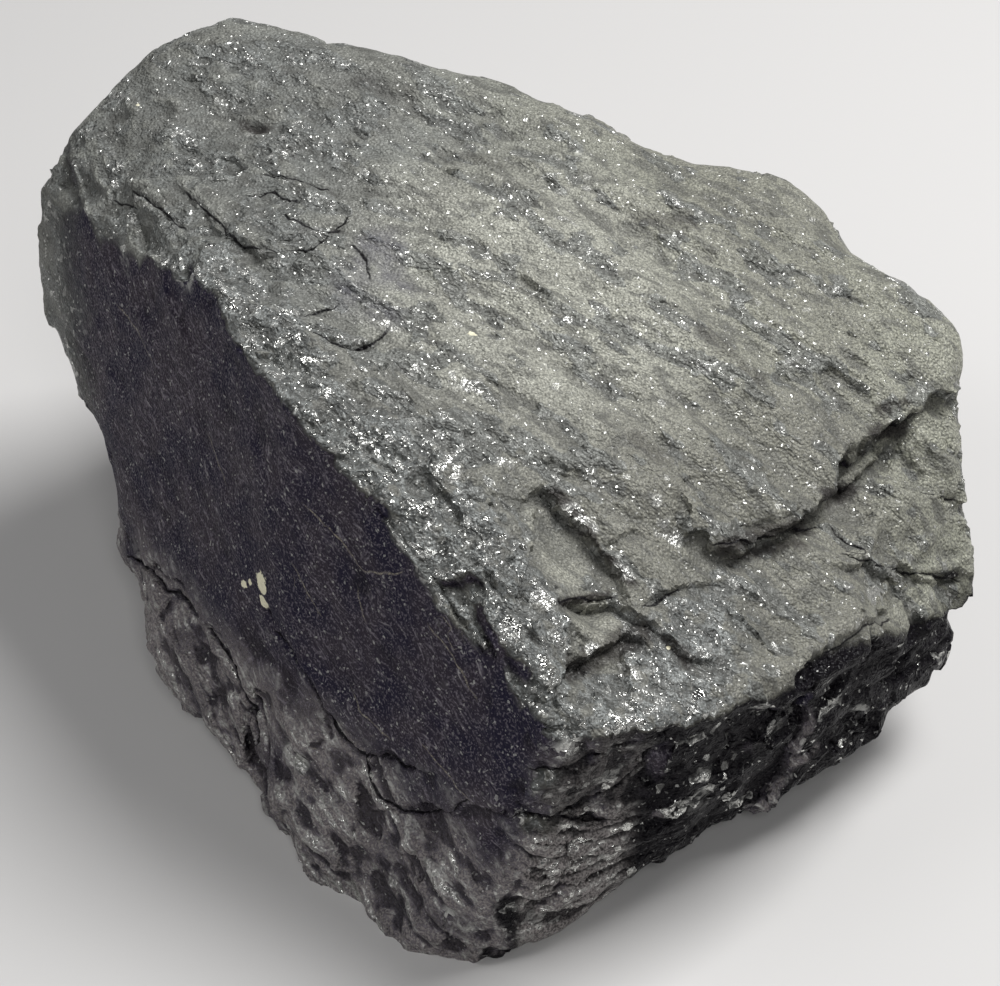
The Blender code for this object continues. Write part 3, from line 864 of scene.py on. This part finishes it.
def paint_masks(mesh):
    """Stores which kind of surface each place has, for the material to read."""
    points = point_values(mesh, "co") / MM + np.array(BLOCK_CENTRE)
    normals = unit(averaged(mesh, point_values(mesh, "normal"), 5))
    x, y, z = points.T
    above = np.sum((points - averaged(mesh, points, 8)) * normals, axis=1)
    film = film_and_sheen_share(points, dot(normals, BEDDING))
    left = (1 - film) * smooth_step(0.08, 0.28, dot(normals, LEFT_WAY))
    crest = crest_share(points, film)
    warm = smooth_step(-35, 45, x + 14 * waves(points, 17)) * (1 - 0.8 * crest)
    calm = calm_share(points)
    bare = np.maximum(bare_patches(points), crest * (0.75 + 0.5 * waves(points, 4))) * (1 - 0.9 * calm)
    across, by_crack = thin_lines([path for _, _, path in CRACKS.values()], points, normals)
    off_scratch, by_scratch = thin_lines(SCRATCHES, points, normals)
    # Painted shade: the film is painted darker and browner towards the right and the front, away from the middle of the
    # sheen.
    dull = np.clip(0.5 * smooth_step(10, 50, x) + 0.9 * smooth_step(5, 40, -y), 0, 1)
    rough = film * (0.35 + 0.65 * bare) * (1 - 0.6 * calm)
    rough += (1 - film) * (1 - 0.82 * left * smooth_step(14, 42, z))
    masks = {
        "film": film,
        "left": left,
        "crest": crest * (1 - 0.9 * calm),
        "warm": np.maximum(warm, calm),
        "lit": lit_share(points, film, left),
        "glint": glint_share(points),
        "calm": calm,
        "bare": bare,
        # How far each place stands above its neighbours; the material paints highlights on the high places and shade in
        # the low ones.
        "raised": np.clip(0.5 + 1.5 * above, 0, 1),
        "across": across,
        "by_crack": by_crack,
        "stain": band_share(STAINS_AND_SHADE, points, normals),
        "dull": dull * (1 - smooth_step(66, 84, x)),
        "rough": rough,
        # painted sheen round the middle of the top
        "pale": 1 - smooth_step(15, 50, away_from(points, PAINTED_SHEEN_MIDDLE)),
        "off_scratch": off_scratch,
        "by_scratch": by_scratch,
    }
    for name, values in masks.items():
        mesh.attributes.new(name, "FLOAT", "POINT").data.foreach_set("value", values)


# ---------------------------------------------------------------- material


class Nodes:
    """A node tree, with short ways to add and join its nodes."""

    def __init__(self, tree):
        self.tree = tree

    def add(self, kind, inputs=(), **settings):
        """Adds a node, sets it up, and feeds its inputs with values or other nodes' outputs."""
        node = self.tree.nodes.new(kind)
        for name, value in settings.items():
            setattr(node, name, value)
        for socket, value in dict(inputs).items():
            self.feed(node.inputs[socket], value)
        return node

    def feed(self, socket, value):
        if isinstance(value, bpy.types.NodeSocket):
            self.tree.links.new(value, socket)
        else:
            socket.default_value = value

    def maths(self, operation, a, b=0.0, clamp=False):
        return self.add("ShaderNodeMath", {0: a, 1: b}, operation=operation, use_clamp=clamp).outputs[0]

    def vector(self, operation, a, b=(0, 0, 0), scale=1.0):
        node = self.add("ShaderNodeVectorMath", {0: a}, operation=operation)
        if operation == "SCALE":
            self.feed(node.inputs["Scale"], scale)
        elif operation not in ("NORMALIZE", "FLOOR"):
            self.feed(node.inputs[1], b)
        return node.outputs["Value" if operation in ("DOT_PRODUCT", "DISTANCE") else "Vector"]

    def ramp(self, value, low, high, to_low=0.0, to_high=1.0):
        """Maps a value from one range to another, smoothly, and holds it there."""
        inputs = {"Value": value, "From Min": low, "From Max": high, "To Min": to_low, "To Max": to_high}
        node = self.add("ShaderNodeMapRange", inputs, interpolation_type="SMOOTHSTEP")
        return node.outputs["Result"]

    def blend(self, share, first, second):
        node = self.add("ShaderNodeMix", data_type="RGBA")
        self.feed(node.inputs["Factor"], share)
        self.feed(node.inputs["A"], first)
        self.feed(node.inputs["B"], second)
        return [o for o in node.outputs if o.type == "RGBA"][0]

    def between(self, share, first, second):
        node = self.add("ShaderNodeMix", data_type="VECTOR")
        sockets = [i for i in node.inputs if i.type == "VECTOR" and i.name in ("A", "B")]
        self.feed(node.inputs[0], share)
        self.feed(sockets[0], first)
        self.feed(sockets[1], second)
        return [o for o in node.outputs if o.type == "VECTOR"][0]

    def mixed(self, share, first, second):
        return self.add("ShaderNodeMix", {0: share, 2: first, 3: second}, data_type="FLOAT").outputs[0]


def group(name, inputs, outputs):
    """A new node group with these sockets, its nodes, and its input and output nodes."""
    tree = bpy.data.node_groups.new(name, "ShaderNodeTree")
    for label, kind, default in inputs:
        socket = tree.interface.new_socket(label, in_out="INPUT", socket_type=kind)
        socket.default_value = default
    for label, kind in outputs:
        tree.interface.new_socket(label, in_out="OUTPUT", socket_type=kind)
    return tree, Nodes(tree), tree.nodes.new("NodeGroupInput"), tree.nodes.new("NodeGroupOutput")


CRYSTAL_INPUTS = (
    ("Position", "NodeSocketVector", (0, 0, 0)), ("Normal", "NodeSocketVector", (0, 0, 1)),
    ("Size", "NodeSocketFloat", 0.002), ("Tilt", "NodeSocketFloat", 0.3),
)


def crystal_group(name, fine):
    """Small flat crystal faces, each tilted its own way; the fine ones are plain grains."""
    outputs = (("Normal", "NodeSocketVector"), ("Chance", "NodeSocketFloat"))
    tree, nodes, given, result = group(name, CRYSTAL_INPUTS, outputs)
    scale = nodes.maths("DIVIDE", 1.0, given.outputs["Size"])
    if fine:
        grains = nodes.vector("FLOOR", nodes.vector("SCALE", given.outputs["Position"], scale=scale))
        random = nodes.add("ShaderNodeTexWhiteNoise", {"Vector": grains}).outputs["Color"]
    else:
        cells = nodes.add("ShaderNodeTexVoronoi", {"Vector": given.outputs["Position"], "Scale": scale})
        random = cells.outputs["Color"]
    centred = nodes.vector("SUBTRACT", random, (0.5, 0.5, 0.5))
    lean = nodes.vector("SCALE", centred, scale=given.outputs["Tilt"])
    leaned = nodes.vector("ADD", given.outputs["Normal"], lean)
    nodes.feed(result.inputs["Normal"], nodes.vector("NORMALIZE", leaned))
    chance = nodes.add("ShaderNodeSeparateColor", {"Color": random})
    nodes.feed(result.inputs["Chance"], chance.outputs["Red"])
    return tree


def drawn_out(nodes, given):
    """The group's position, scaled by its length along its direction and by its width across it."""
    reach = nodes.vector("DOT_PRODUCT", given.outputs["Position"], given.outputs["Direction"])
    along = nodes.vector("SCALE", given.outputs["Direction"], scale=reach)
    across = nodes.vector("SUBTRACT", given.outputs["Position"], along)
    long = nodes.vector("SCALE", along, scale=nodes.maths("DIVIDE", 1.0, given.outputs["Length"]))
    thin = nodes.vector("SCALE", across, scale=nodes.maths("DIVIDE", 1.0, given.outputs["Width"]))
    return nodes.vector("ADD", long, thin)


DRAWN_INPUTS = (
    ("Position", "NodeSocketVector", (0, 0, 0)), ("Direction", "NodeSocketVector", (1, 0, 0)),
    ("Length", "NodeSocketFloat", 0.01), ("Width", "NodeSocketFloat", 0.001),
)


def scallop_group():
    """Heights of leaning bowls, about as wide and as long as asked."""
    inputs = (*DRAWN_INPUTS, ("Lean", "NodeSocketFloat", 1.0))
    outputs = (("Height", "NodeSocketFloat"), ("Chance", "NodeSocketFloat"))
    tree, nodes, given, result = group("scallops", inputs, outputs)
    place = drawn_out(nodes, given)
    cells = nodes.add("ShaderNodeTexVoronoi", {"Vector": place, "Scale": 1.0})
    away = nodes.vector("SUBTRACT", place, cells.outputs["Position"])
    lean = nodes.vector("SUBTRACT", cells.outputs["Color"], (0.5, 0.5, 0.5))
    leaning = nodes.maths("MULTIPLY", nodes.vector("DOT_PRODUCT", away, lean), given.outputs["Lean"])
    bowl = nodes.maths("MULTIPLY", cells.outputs["Distance"], cells.outputs["Distance"])
    nodes.feed(result.inputs["Height"], nodes.maths("ADD", bowl, leaning))
    chance = nodes.add("ShaderNodeSeparateColor", {"Color": cells.outputs["Color"]})
    nodes.feed(result.inputs["Chance"], chance.outputs["Green"])
    return tree


def grain_group():
    """Noise drawn out along one direction."""
    tree, nodes, given, result = group("drawn grain", DRAWN_INPUTS, (("Value", "NodeSocketFloat"),))
    place = drawn_out(nodes, given)
    pattern = nodes.add("ShaderNodeTexNoise", {"Vector": place, "Scale": 1.0, "Detail": 1.0, "Roughness": 0.6})
    nodes.feed(result.inputs["Value"], pattern.outputs["Fac"])
    return tree


def spot_group():
    """One where a small rounded spot lies, with a ragged edge."""
    inputs = (
        ("Position", "NodeSocketVector", (0, 0, 0)), ("Middle", "NodeSocketVector", (0, 0, 0)),
        ("Radius", "NodeSocketFloat", 0.001), ("Pattern", "NodeSocketFloat", 0.5),
    )
    tree, nodes, given, result = group("spot", inputs, (("Value", "NodeSocketFloat"),))
    away = nodes.vector("DISTANCE", given.outputs["Position"], given.outputs["Middle"])
    share = nodes.maths("DIVIDE", away, given.outputs["Radius"])
    ragged_share = nodes.maths("ADD", share, nodes.maths("MULTIPLY", given.outputs["Pattern"], 1.2))
    nodes.feed(result.inputs["Value"], nodes.ramp(ragged_share, 1.45, 1.65, 1.0, 0.0))
    return tree


def in_part(place):
    """A place from the tables, in the finished mesh's metres."""
    return tuple((Vector(place) - BLOCK_CENTRE) * MM)


# Pale mineral spots and patches of violet tint: middle and radius.
MINERAL_SPOTS = (
    ((-42.6, -45.2, 51.2), 1.5), ((-42.1, -45.8, 49.6), 1.4), ((-42, -46.1, 46.4), 1.35), ((-46.3, -41.3, 46.4), 0.9),
    ((-45.0, -42.6, 48.2), 0.7), ((-3.7, -16.5, 85.8), 0.9), ((31, -68.3, 55.8), 0.55), ((-70.9, 43.6, 98.2), 0.6),
)
TINT_SPOTS = (((-21.5, -9, 90.6), 11), ((-20.1, 0.9, 92.8), 8))

# What the mesh stores at its points, for the material.
MASKS = (
    "film", "left", "crest", "warm", "dull", "pale", "lit", "glint", "calm", "bare", "raised", "rough", "stain",
    "across", "by_crack", "off_scratch", "by_scratch",
)

# Sizes of the material's patterns, in metres.
RAGGED_SIZE, BEND = 0.0026, 0.0022  # the noise that makes edges ragged, and how far it bends the bowls
WIDE_SIZE, SWAY = 0.011, 0.009  # the noise of the blotches, and how far it sways the thin grain
BOWL_LENGTH, BOWL_WIDTH = 0.0060, 0.0026
FINE_LENGTH, FINE_WIDTH = 0.0018, 0.0009
THIN_LENGTH, THIN_WIDTH = 0.0080, 0.0006
SLIVER_LENGTH, SLIVER_WIDTH, SLIVER_WIDTH_TOP = 0.0080, 0.0017, 0.0028
CRYSTAL_SIZE, CRYSTAL_GRAIN = 0.0014, 0.0004
GRIT_SIZE, SPECK_SIZE, CRUMB_SIZE = 0.0005, 0.00042, 0.0010
COAL_IOR = 1.22  # low, so that plain coal mirrors little

# One value for each kind of surface: top under its film, bare top, left side, front breaks.
SIDES = {
    "crystal tilt": (0.10, 0.45, 0.08, 0.34),
    "grain tilt": (0.40, 0.62, 0.34, 0.55),
    "sparkle from": (0.965, 0.85, 0.960, 0.980),
    "sparkle": (0.85, 0.95, 0.50, 0.75),
    "flat from": (0.970, 0.72, 0.99, 0.960),
    "flat": (0.35, 0.80, 0.06, 0.80),
    "bowl from": (0.99, 0.82, 0.95, 0.94),
    "bowl to": (1.0, 0.92, 1.0, 0.98),
    "bowl": (0.10, 0.60, 0.12, 0.85),
    "thread from": (0.80, 0.68, 0.68, 0.73),
    "thread to": (0.90, 0.80, 0.80, 0.79),
    "thread": (0.1, 0.35, 0.22, 0.70),
    "sheen": (0.12, 0.10, 0.0, 0.0),
    "roughness": (0.45, 0.36, 0.52, 0.36),
}


def coal_material(settings):
    """Dark, glossy coal with small crystal faces, under a thin grey film on its top. The film's light colour is partly
    real and partly a painted sheen.
    """
    material = bpy.data.materials.new("coal")
    material.use_nodes = True
    nodes = Nodes(material.node_tree)
    surface = material.node_tree.nodes["Principled BSDF"]
    place = nodes.add("ShaderNodeTexCoord").outputs["Object"]
    (
        film, left, crest, warm, dull, pale, lit, glint, calm, patches, raised, rough, stain,
        across, by_crack, off_scratch, by_scratch,
    ) = (nodes.add("ShaderNodeAttribute", attribute_name=name).outputs["Fac"] for name in MASKS)
    crystals, grains = crystal_group("crystal faces", False), crystal_group("crystal grains", True)
    grain, bowls, spot = grain_group(), scallop_group(), spot_group()

    def use(tree, **values):
        return nodes.add("ShaderNodeGroup", values, node_tree=tree).outputs

    def noise_at(size, detail=2.0, roughness_value=0.5):
        inputs = {"Vector": place, "Scale": 1 / size, "Detail": detail, "Roughness": roughness_value}
        return nodes.add("ShaderNodeTexNoise", inputs).outputs

    def times(*values):
        return functools.reduce(lambda a, b: nodes.maths("MULTIPLY", a, b), values)

    def plus(*values):
        return functools.reduce(lambda a, b: nodes.maths("ADD", a, b), values)

    def most(*values):
        return functools.reduce(lambda a, b: nodes.maths("MAXIMUM", a, b), values)

    def without(value):
        return nodes.maths("SUBTRACT", 1.0, value)

    def paint(name):
        return (*getattr(settings, name), 1)

    def over(base, *layers):
        """Lays colours over a colour, one after another: how much of each, and which."""
        for share, layer in layers:
            base = nodes.blend(share, base, layer)
        return base

    def moved(colour_noise, reach):
        """The place, moved up to this far by a noise."""
        shift = nodes.vector("SUBTRACT", colour_noise, (0.5, 0.5, 0.5))
        return nodes.vector("ADD", place, nodes.vector("SCALE", shift, scale=reach))

    ragged_noise, wide_noise = noise_at(RAGGED_SIZE, 1.0), noise_at(WIDE_SIZE, 2.0, 0.65)
    bent, swayed = moved(ragged_noise["Color"], BEND), moved(wide_noise["Color"], SWAY)
    uneven = nodes.maths("SUBTRACT", ragged_noise["Fac"], 0.5)

    # painted shade: thin dark lines along the cracks
    line = nodes.maths("ABSOLUTE", plus(across, times(uneven, 0.5)))
    crack_shade = times(nodes.ramp(line, 0.10, 0.30, 1.0, 0.0), by_crack)

    # thin light lines on the left side
    scratch = nodes.maths("ABSOLUTE", plus(off_scratch, times(uneven, 0.8)))
    scratch = times(nodes.ramp(scratch, 0.06, 0.24, 1.0, 0.0), by_scratch, without(film))

    # where the top is bare of film, and the value for each kind of surface
    bare = times(nodes.ramp(plus(patches, times(uneven, 1.6)), 0.35, 0.60), nodes.mixed(crest, 0.60, 1.0))

    def by_side(name):
        on_film, on_bare, on_left, on_front = SIDES[name]
        return nodes.mixed(film, nodes.mixed(left, on_front, on_left), nodes.mixed(bare, on_film, on_bare))

    # each side's own grain
    on_top = nodes.maths("GREATER_THAN", film, 0.5)
    on_left = nodes.maths("GREATER_THAN", left, 0.5)
    side_way = nodes.between(on_left, tuple(FRONT_GRAIN), tuple(LEFT_GRAIN))
    way = nodes.between(on_top, side_way, tuple(GRAIN))

    # the fine relief, in millimetres
    bowl = use(bowls, Position=bent, Direction=way, Length=BOWL_LENGTH, Width=BOWL_WIDTH, Lean=1.4)
    fine_grain = use(grain, Position=bent, Direction=way, Length=FINE_LENGTH, Width=FINE_WIDTH)["Value"]
    thin_grain = use(grain, Position=swayed, Direction=way, Length=THIN_LENGTH, Width=THIN_WIDTH)["Value"]
    height = times(rough, plus(times(bowl["Height"], 0.85), times(fine_grain, 0.75)))
    height = plus(height, times(thin_grain, 0.22), times(noise_at(GRIT_SIZE, 0.0)["Fac"], 0.32))
    relief = nodes.add("ShaderNodeBump", {"Height": height, "Strength": 1.0, "Distance": MM}).outputs["Normal"]

    # crystal faces
    coarse = use(crystals, Position=place, Normal=relief, Size=CRYSTAL_SIZE, Tilt=by_side("crystal tilt"))
    small = use(grains, Position=bent, Normal=coarse["Normal"], Size=CRYSTAL_GRAIN, Tilt=by_side("grain tilt"))
    nodes.feed(surface.inputs["Normal"], small["Normal"])

    # how shiny each small face is
    broken_up = nodes.ramp(fine_grain, 0.40, 0.60, 0.12, 1.0)
    standing = nodes.ramp(raised, 0.2, 0.8, 0.35, 1.35)
    sparkle = nodes.ramp(small["Chance"], by_side("sparkle from"), 1.0)
    flat_break = nodes.ramp(coarse["Chance"], by_side("flat from"), 1.0)
    bowl_break = nodes.ramp(bowl["Chance"], by_side("bowl from"), by_side("bowl to"))
    thread = nodes.ramp(thin_grain, by_side("thread from"), by_side("thread to"))
    sliver_width = nodes.mixed(on_top, SLIVER_WIDTH, SLIVER_WIDTH_TOP)
    slivers = use(grain, Position=place, Direction=way, Length=SLIVER_LENGTH, Width=sliver_width)["Value"]
    shine = most(
        times(times(sparkle, nodes.ramp(calm, 0.0, 1.0, 1.0, 0.4)), by_side("sparkle")),
        times(flat_break, by_side("flat"), standing),
        times(thread, plus(by_side("thread"), times(lit, 0.25)), standing),
        times(bowl_break, by_side("bowl"), standing, broken_up),
        times(lit, nodes.ramp(slivers, 0.46, 0.66), nodes.ramp(raised, 0.30, 0.75), broken_up, 1.1),
        times(film, by_side("sheen")),
    )
    shine = times(shine, nodes.ramp(stain, 0.0, 1.0, 1.0, 0.25), nodes.ramp(crack_shade, 0.0, 1.0, 1.0, 0.1))
    shine = most(shine, times(glint, nodes.ramp(coarse["Chance"], 0.15, 0.55), 0.85))
    nodes.feed(surface.inputs["Metallic"], shine)

    # colour
    mottle = nodes.ramp(wide_noise["Fac"], 0.34, 0.66)
    speckle = nodes.ramp(noise_at(SPECK_SIZE, 0.0)["Fac"], 0.32, 0.68)
    worn, dark, light, brown = (paint(name) for name in ("film_worn_and_shade", "dark", "film_highlight", "film_brown_and_shade"))
    # the bare top: painted shade in the bowls' hollows and painted highlight on their ridges
    bare_colour = nodes.blend(nodes.ramp(bowl["Height"], -0.1, 0.5), paint("bare_hollow_shade"), paint("bare_ridge_highlight"))
    # the top's colour: grey film, partly real and partly a painted sheen
    film_and_sheen_colour = over(
        paint("cool_film_and_sheen"),
        (warm, paint("warm_film_and_sheen")),
        # painted highlight: lighter film where it stands proud
        (times(nodes.ramp(raised, 0.5, 1.0), 0.25), light),
        # painted shade: darker, browner film towards the right and the front
        (times(dull, 0.62), brown),
        # painted sheen: lighter film round the middle of the top
        (times(pale, 0.75), light),
        # painted highlight: lighter film on the flat breaks in the star
        (times(calm, 0.40), light),
        (times(mottle, 0.30), brown),
        (times(nodes.ramp(slivers, 0.46, 0.36), 0.60), worn),
        (bare, bare_colour),
        # painted shade: darker film in its hollows
        (times(nodes.ramp(raised, 0.45, 0.1), 0.50), worn),
        (times(speckle, nodes.mixed(bare, 0.58, 0.72)), worn),
        # dark patches: partly real, partly painted shade in the trench, along the step and by the pit
        (times(stain, 0.9), paint("stain")),
    )
    left_tone = times(nodes.ramp(thin_grain, 0.50, 0.82), nodes.ramp(mottle, 0.0, 1.0, 0.35, 1.0))
    left_tone = nodes.maths("ADD", left_tone, times(nodes.ramp(speckle, 0.90, 1.0), 0.55), clamp=True)
    left_colour = over(
        paint("left_dark"),
        (mottle, paint("left_brown")),
        (left_tone, paint("left_light")),
        (times(scratch, nodes.ramp(speckle, 0.0, 0.6, 1.0, 0.35)), paint("scratch")),
    )
    # painted highlight: the glossy breaks are painted lighter where they stand proud
    lit_highlight = times(lit, nodes.ramp(raised, 0.25, 0.65, 0.35, 1.0), nodes.ramp(speckle, 0.0, 1.0, 1.0, 0.4))
    # painted shade: the sides are painted darker in their hollows
    side_hollow_shade = times(nodes.ramp(raised, 0.40, 0.1), 0.5)
    side = over(dark, (left, left_colour), (lit_highlight, paint("lit")), (side_hollow_shade, dark))
    colour = nodes.blend(film, side, film_and_sheen_colour)
    for middle, radius in TINT_SPOTS:
        share = nodes.vector("DISTANCE", place, in_part(middle))
        share = times(nodes.ramp(share, 0.3 * radius * MM, radius * MM, 0.55, 0.0), mottle)
        colour = nodes.blend(share, colour, paint("tint"))
    colour = over(colour, (times(crack_shade, 0.92), dark), (shine, paint("shine")))
    crumbs = noise_at(CRUMB_SIZE, 1.0, 0.7)["Fac"]
    for middle, radius in MINERAL_SPOTS:
        share = use(spot, Position=place, Middle=in_part(middle), Radius=radius * MM, Pattern=crumbs)["Value"]
        colour = nodes.blend(share, colour, paint("mineral"))
    nodes.feed(surface.inputs["Base Color"], colour)

    gloss = nodes.maths("SUBTRACT", by_side("roughness"), times(lit, 0.14))
    nodes.feed(surface.inputs["Roughness"], nodes.maths("SUBTRACT", gloss, times(shine, 0.15)))
    surface.inputs["IOR"].default_value = COAL_IOR
    return material


def plain_material(name, colour, roughness_value):
    material = bpy.data.materials.new(name)
    material.use_nodes = True
    surface = material.node_tree.nodes["Principled BSDF"]
    surface.inputs["Base Color"].default_value = (*colour, 1)
    surface.inputs["Roughness"].default_value = roughness_value
    return material


# ---------------------------------------------------------------- settings


def colour(name, description, default):
    return FloatVectorProperty(name=name, description=description, default=default, subtype="COLOR", min=0, max=1)


def power(name, description, default):
    return FloatProperty(name=name, description=description, default=default, unit="POWER")


class CoalSettings(bpy.types.PropertyGroup):
    """Sizes and colours of the lump."""

    grid: FloatProperty(
        name="Surface spacing", description="Spacing of the points that carry the small relief",
        default=0.00065, min=0.0005, unit="LENGTH",
    )
    triangles: IntProperty(
        name="Triangles", description="Most triangles in the finished lump", default=192000, min=10000,
    )
    sharp_angle: FloatProperty(
        name="Sharp edge angle", description="Edges that turn by more than this are left sharp",
        default=math.radians(38), subtype="ANGLE",
    )
    # Colour of bare coal; also the painted shade in the sides' hollows and along the cracks, and kept very dark to
    # stand in for the shade under the front.
    dark: colour("Coal", "Colour of bare coal", (0.006, 0.005, 0.007))
    # The film's colours are partly real grey film and partly a painted sheen: the top is painted lighter than the
    # sides.
    warm_film_and_sheen: colour("Warm film", "Warmer colour of the grey film on top", (0.300, 0.303, 0.234))
    cool_film_and_sheen: colour("Cool film", "Cooler colour of the grey film on top", (0.155, 0.164, 0.156))
    # Also used for painted shade in the film's hollows.
    film_worn_and_shade: colour("Worn film", "Colour of the top where the film is thin", (0.040, 0.040, 0.035))
    # Painted highlight: the film is painted this colour where it stands proud, round the sheen's middle and on the flat
    # breaks in the star.
    film_highlight: colour("Rubbed film", "Colour of the film where it stands proud", (0.46, 0.46, 0.39))
    # Also used for painted shade: the film darker towards the right and the front.
    film_brown_and_shade: colour("Brown film", "Browner colour of the film's blotches", (0.125, 0.118, 0.098))
    # The bare top's colour runs from painted shade in the bowls' hollows to painted highlight on their ridges.
    bare_hollow_shade: colour("Bare top, dark", "Colour of the hollows in the top's bare patches", (0.054, 0.059, 0.060))
    bare_ridge_highlight: colour("Bare top, light", "Colour of the ridges in the top's bare patches", (0.255, 0.270, 0.265))
    # Real dark patches, and painted shade in the wedge's trench, along the broken step and round the oval pit.
    stain: colour("Dark patches", "Colour of the dark, bare patches in the breaks", (0.026, 0.022, 0.021))
    left_dark: colour("Left face, dark", "Darker colour of the left side", (0.013, 0.011, 0.028))
    left_brown: colour("Left face, brown", "Browner colour of the left side", (0.037, 0.030, 0.041))
    left_light: colour("Left face, light", "Lighter colour of the left side's streaks", (0.165, 0.148, 0.175))
    scratch: colour("Light lines", "Colour of the thin light lines on the left side", (0.270, 0.245, 0.200))
    # Painted highlight on the glossy breaks low on the left and at the front.
    lit: colour("Glossy lobes", "Colour of the glossy breaks low on the left and at the front", (0.30, 0.275, 0.267))
    tint: colour("Tint", "Violet tarnish on the top", (0.055, 0.050, 0.090))
    shine: colour("Crystal faces", "Colour of the shiny crystal faces", (0.62, 0.62, 0.59))
    mineral: colour("Mineral", "Colour of the pale mineral spots", (0.86, 0.82, 0.62))


class StageSettings(bpy.types.PropertyGroup):
    """The floor, the light and the camera."""

    floor_colour: colour("Floor colour", "Colour of the floor", (0.62, 0.61, 0.60))
    camera_height: FloatProperty(
        name="Camera angle", description="How far above level the camera looks from",
        default=math.radians(40), subtype="ANGLE",
    )
    camera_distance: FloatProperty(
        name="Camera distance", description="From the camera to the point that it looks at",
        default=0.455, unit="LENGTH",
    )
    lens: FloatProperty(
        name="Lens", description="Focal length of the camera", default=86.4, unit="CAMERA",
    )
    key_power: power("Main light", "Power of the main light", 14.0)
    fill_power: power("Fill light", "Power of the fill light", 3.5)
    left_power: power("Left light", "Power of the weak light on the left", 2.5)


# ---------------------------------------------------------------- operators


class COAL_OT_lump(bpy.types.Operator):
    """Build the lump of coal in place of its plain solid."""

    bl_idname = "coal.lump"
    bl_label = "Coal Lump"

    def execute(self, context):
        settings = context.scene.coal_settings
        lump = bpy.data.objects.new("coal", lump_mesh(settings))
        context.scene.collection.objects.link(lump)
        lump.data.materials.append(coal_material(settings))
        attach(lump, "root")
        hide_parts("coal_lump")
        return {"FINISHED"}


CAMERA_TARGET = Vector((0.00104, -0.02407, 0.055))
SENSOR_WIDTH = 36  # millimetres, as Blender has it
CLIP_START = 0.01
LIGHT_TARGET = (0, 0, 0.05)
LIGHTS = (("key", (0.50, 0.26, 0.98), 0.5), ("fill", (0.10, -0.90, 0.95), 0.35), ("left", (-0.80, -0.15, 0.85), 0.5))
FLOOR_REACH, FLOOR_ROUGHNESS = 3.0, 0.7
SKY, SKY_STRENGTH = (0.9, 0.93, 1, 1), 0.07


def aimed(obj, place, target):
    obj.location = place
    obj.rotation_mode = "QUATERNION"
    obj.rotation_quaternion = (Vector(target) - Vector(place)).to_track_quat("-Z", "Y")


def area_light(context, name, place, size, power):
    light = bpy.data.lights.new(name, "AREA")
    light.size = size
    light.energy = power
    lamp = bpy.data.objects.new(name, light)
    context.scene.collection.objects.link(lamp)
    aimed(lamp, place, LIGHT_TARGET)


class COAL_OT_stage(bpy.types.Operator):
    """Set the floor, the light and the camera."""

    bl_idname = "coal.stage"
    bl_label = "Floor, Light and Camera"

    def execute(self, context):
        settings = context.scene.coal_stage
        shape = bmesh.new()
        bmesh.ops.create_grid(shape, x_segments=1, y_segments=1, size=FLOOR_REACH)
        mesh = bpy.data.meshes.new("floor")
        shape.to_mesh(mesh)
        shape.free()
        mesh.materials.append(plain_material("floor", settings.floor_colour, FLOOR_ROUGHNESS))
        floor = bpy.data.objects.new("floor", mesh)
        context.scene.collection.objects.link(floor)

        way = Vector((0, -math.cos(settings.camera_height), math.sin(settings.camera_height)))
        camera_data = bpy.data.cameras.new("camera")
        camera_data.lens = settings.lens
        camera_data.sensor_width = SENSOR_WIDTH
        camera_data.clip_start = CLIP_START
        camera = bpy.data.objects.new("camera", camera_data)
        context.scene.collection.objects.link(camera)
        aimed(camera, CAMERA_TARGET + way * settings.camera_distance, CAMERA_TARGET)
        context.scene.camera = camera

        for name, place, size in LIGHTS:
            area_light(context, name, place, size, getattr(settings, name + "_power"))
        world = bpy.data.worlds.new("world")
        context.scene.world = world
        world.use_nodes = True
        sky = world.node_tree.nodes["Background"]
        sky.inputs["Color"].default_value = SKY
        sky.inputs["Strength"].default_value = SKY_STRENGTH
        context.scene.view_settings.view_transform = "Standard"
        return {"FINISHED"}


class COAL_PT_panel(bpy.types.Panel):
    """Shows the buttons that build the lump and its stage, and their settings."""

    bl_label = "Coal Lump"
    bl_idname = "COAL_PT_panel"
    bl_space_type = "VIEW_3D"
    bl_region_type = "UI"
    bl_category = "Coal"

    def draw(self, context):
        for operator in (COAL_OT_lump, COAL_OT_stage):
            self.layout.operator(operator.bl_idname)
        for group in (context.scene.coal_settings, context.scene.coal_stage):
            for name in group.__annotations__:
                self.layout.prop(group, name)


CLASSES = (CoalSettings, StageSettings, COAL_OT_lump, COAL_OT_stage, COAL_PT_panel)


def register():
    for cls in CLASSES:
        bpy.utils.register_class(cls)
    bpy.types.Scene.coal_settings = PointerProperty(type=CoalSettings)
    bpy.types.Scene.coal_stage = PointerProperty(type=StageSettings)


def unregister():
    del bpy.types.Scene.coal_stage
    del bpy.types.Scene.coal_settings
    for cls in reversed(CLASSES):
        bpy.utils.unregister_class(cls)


def main():
    register()
    bpy.ops.coal.stage()
    bpy.ops.coal.lump()
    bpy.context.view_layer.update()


if __name__ == "__main__":
    main()
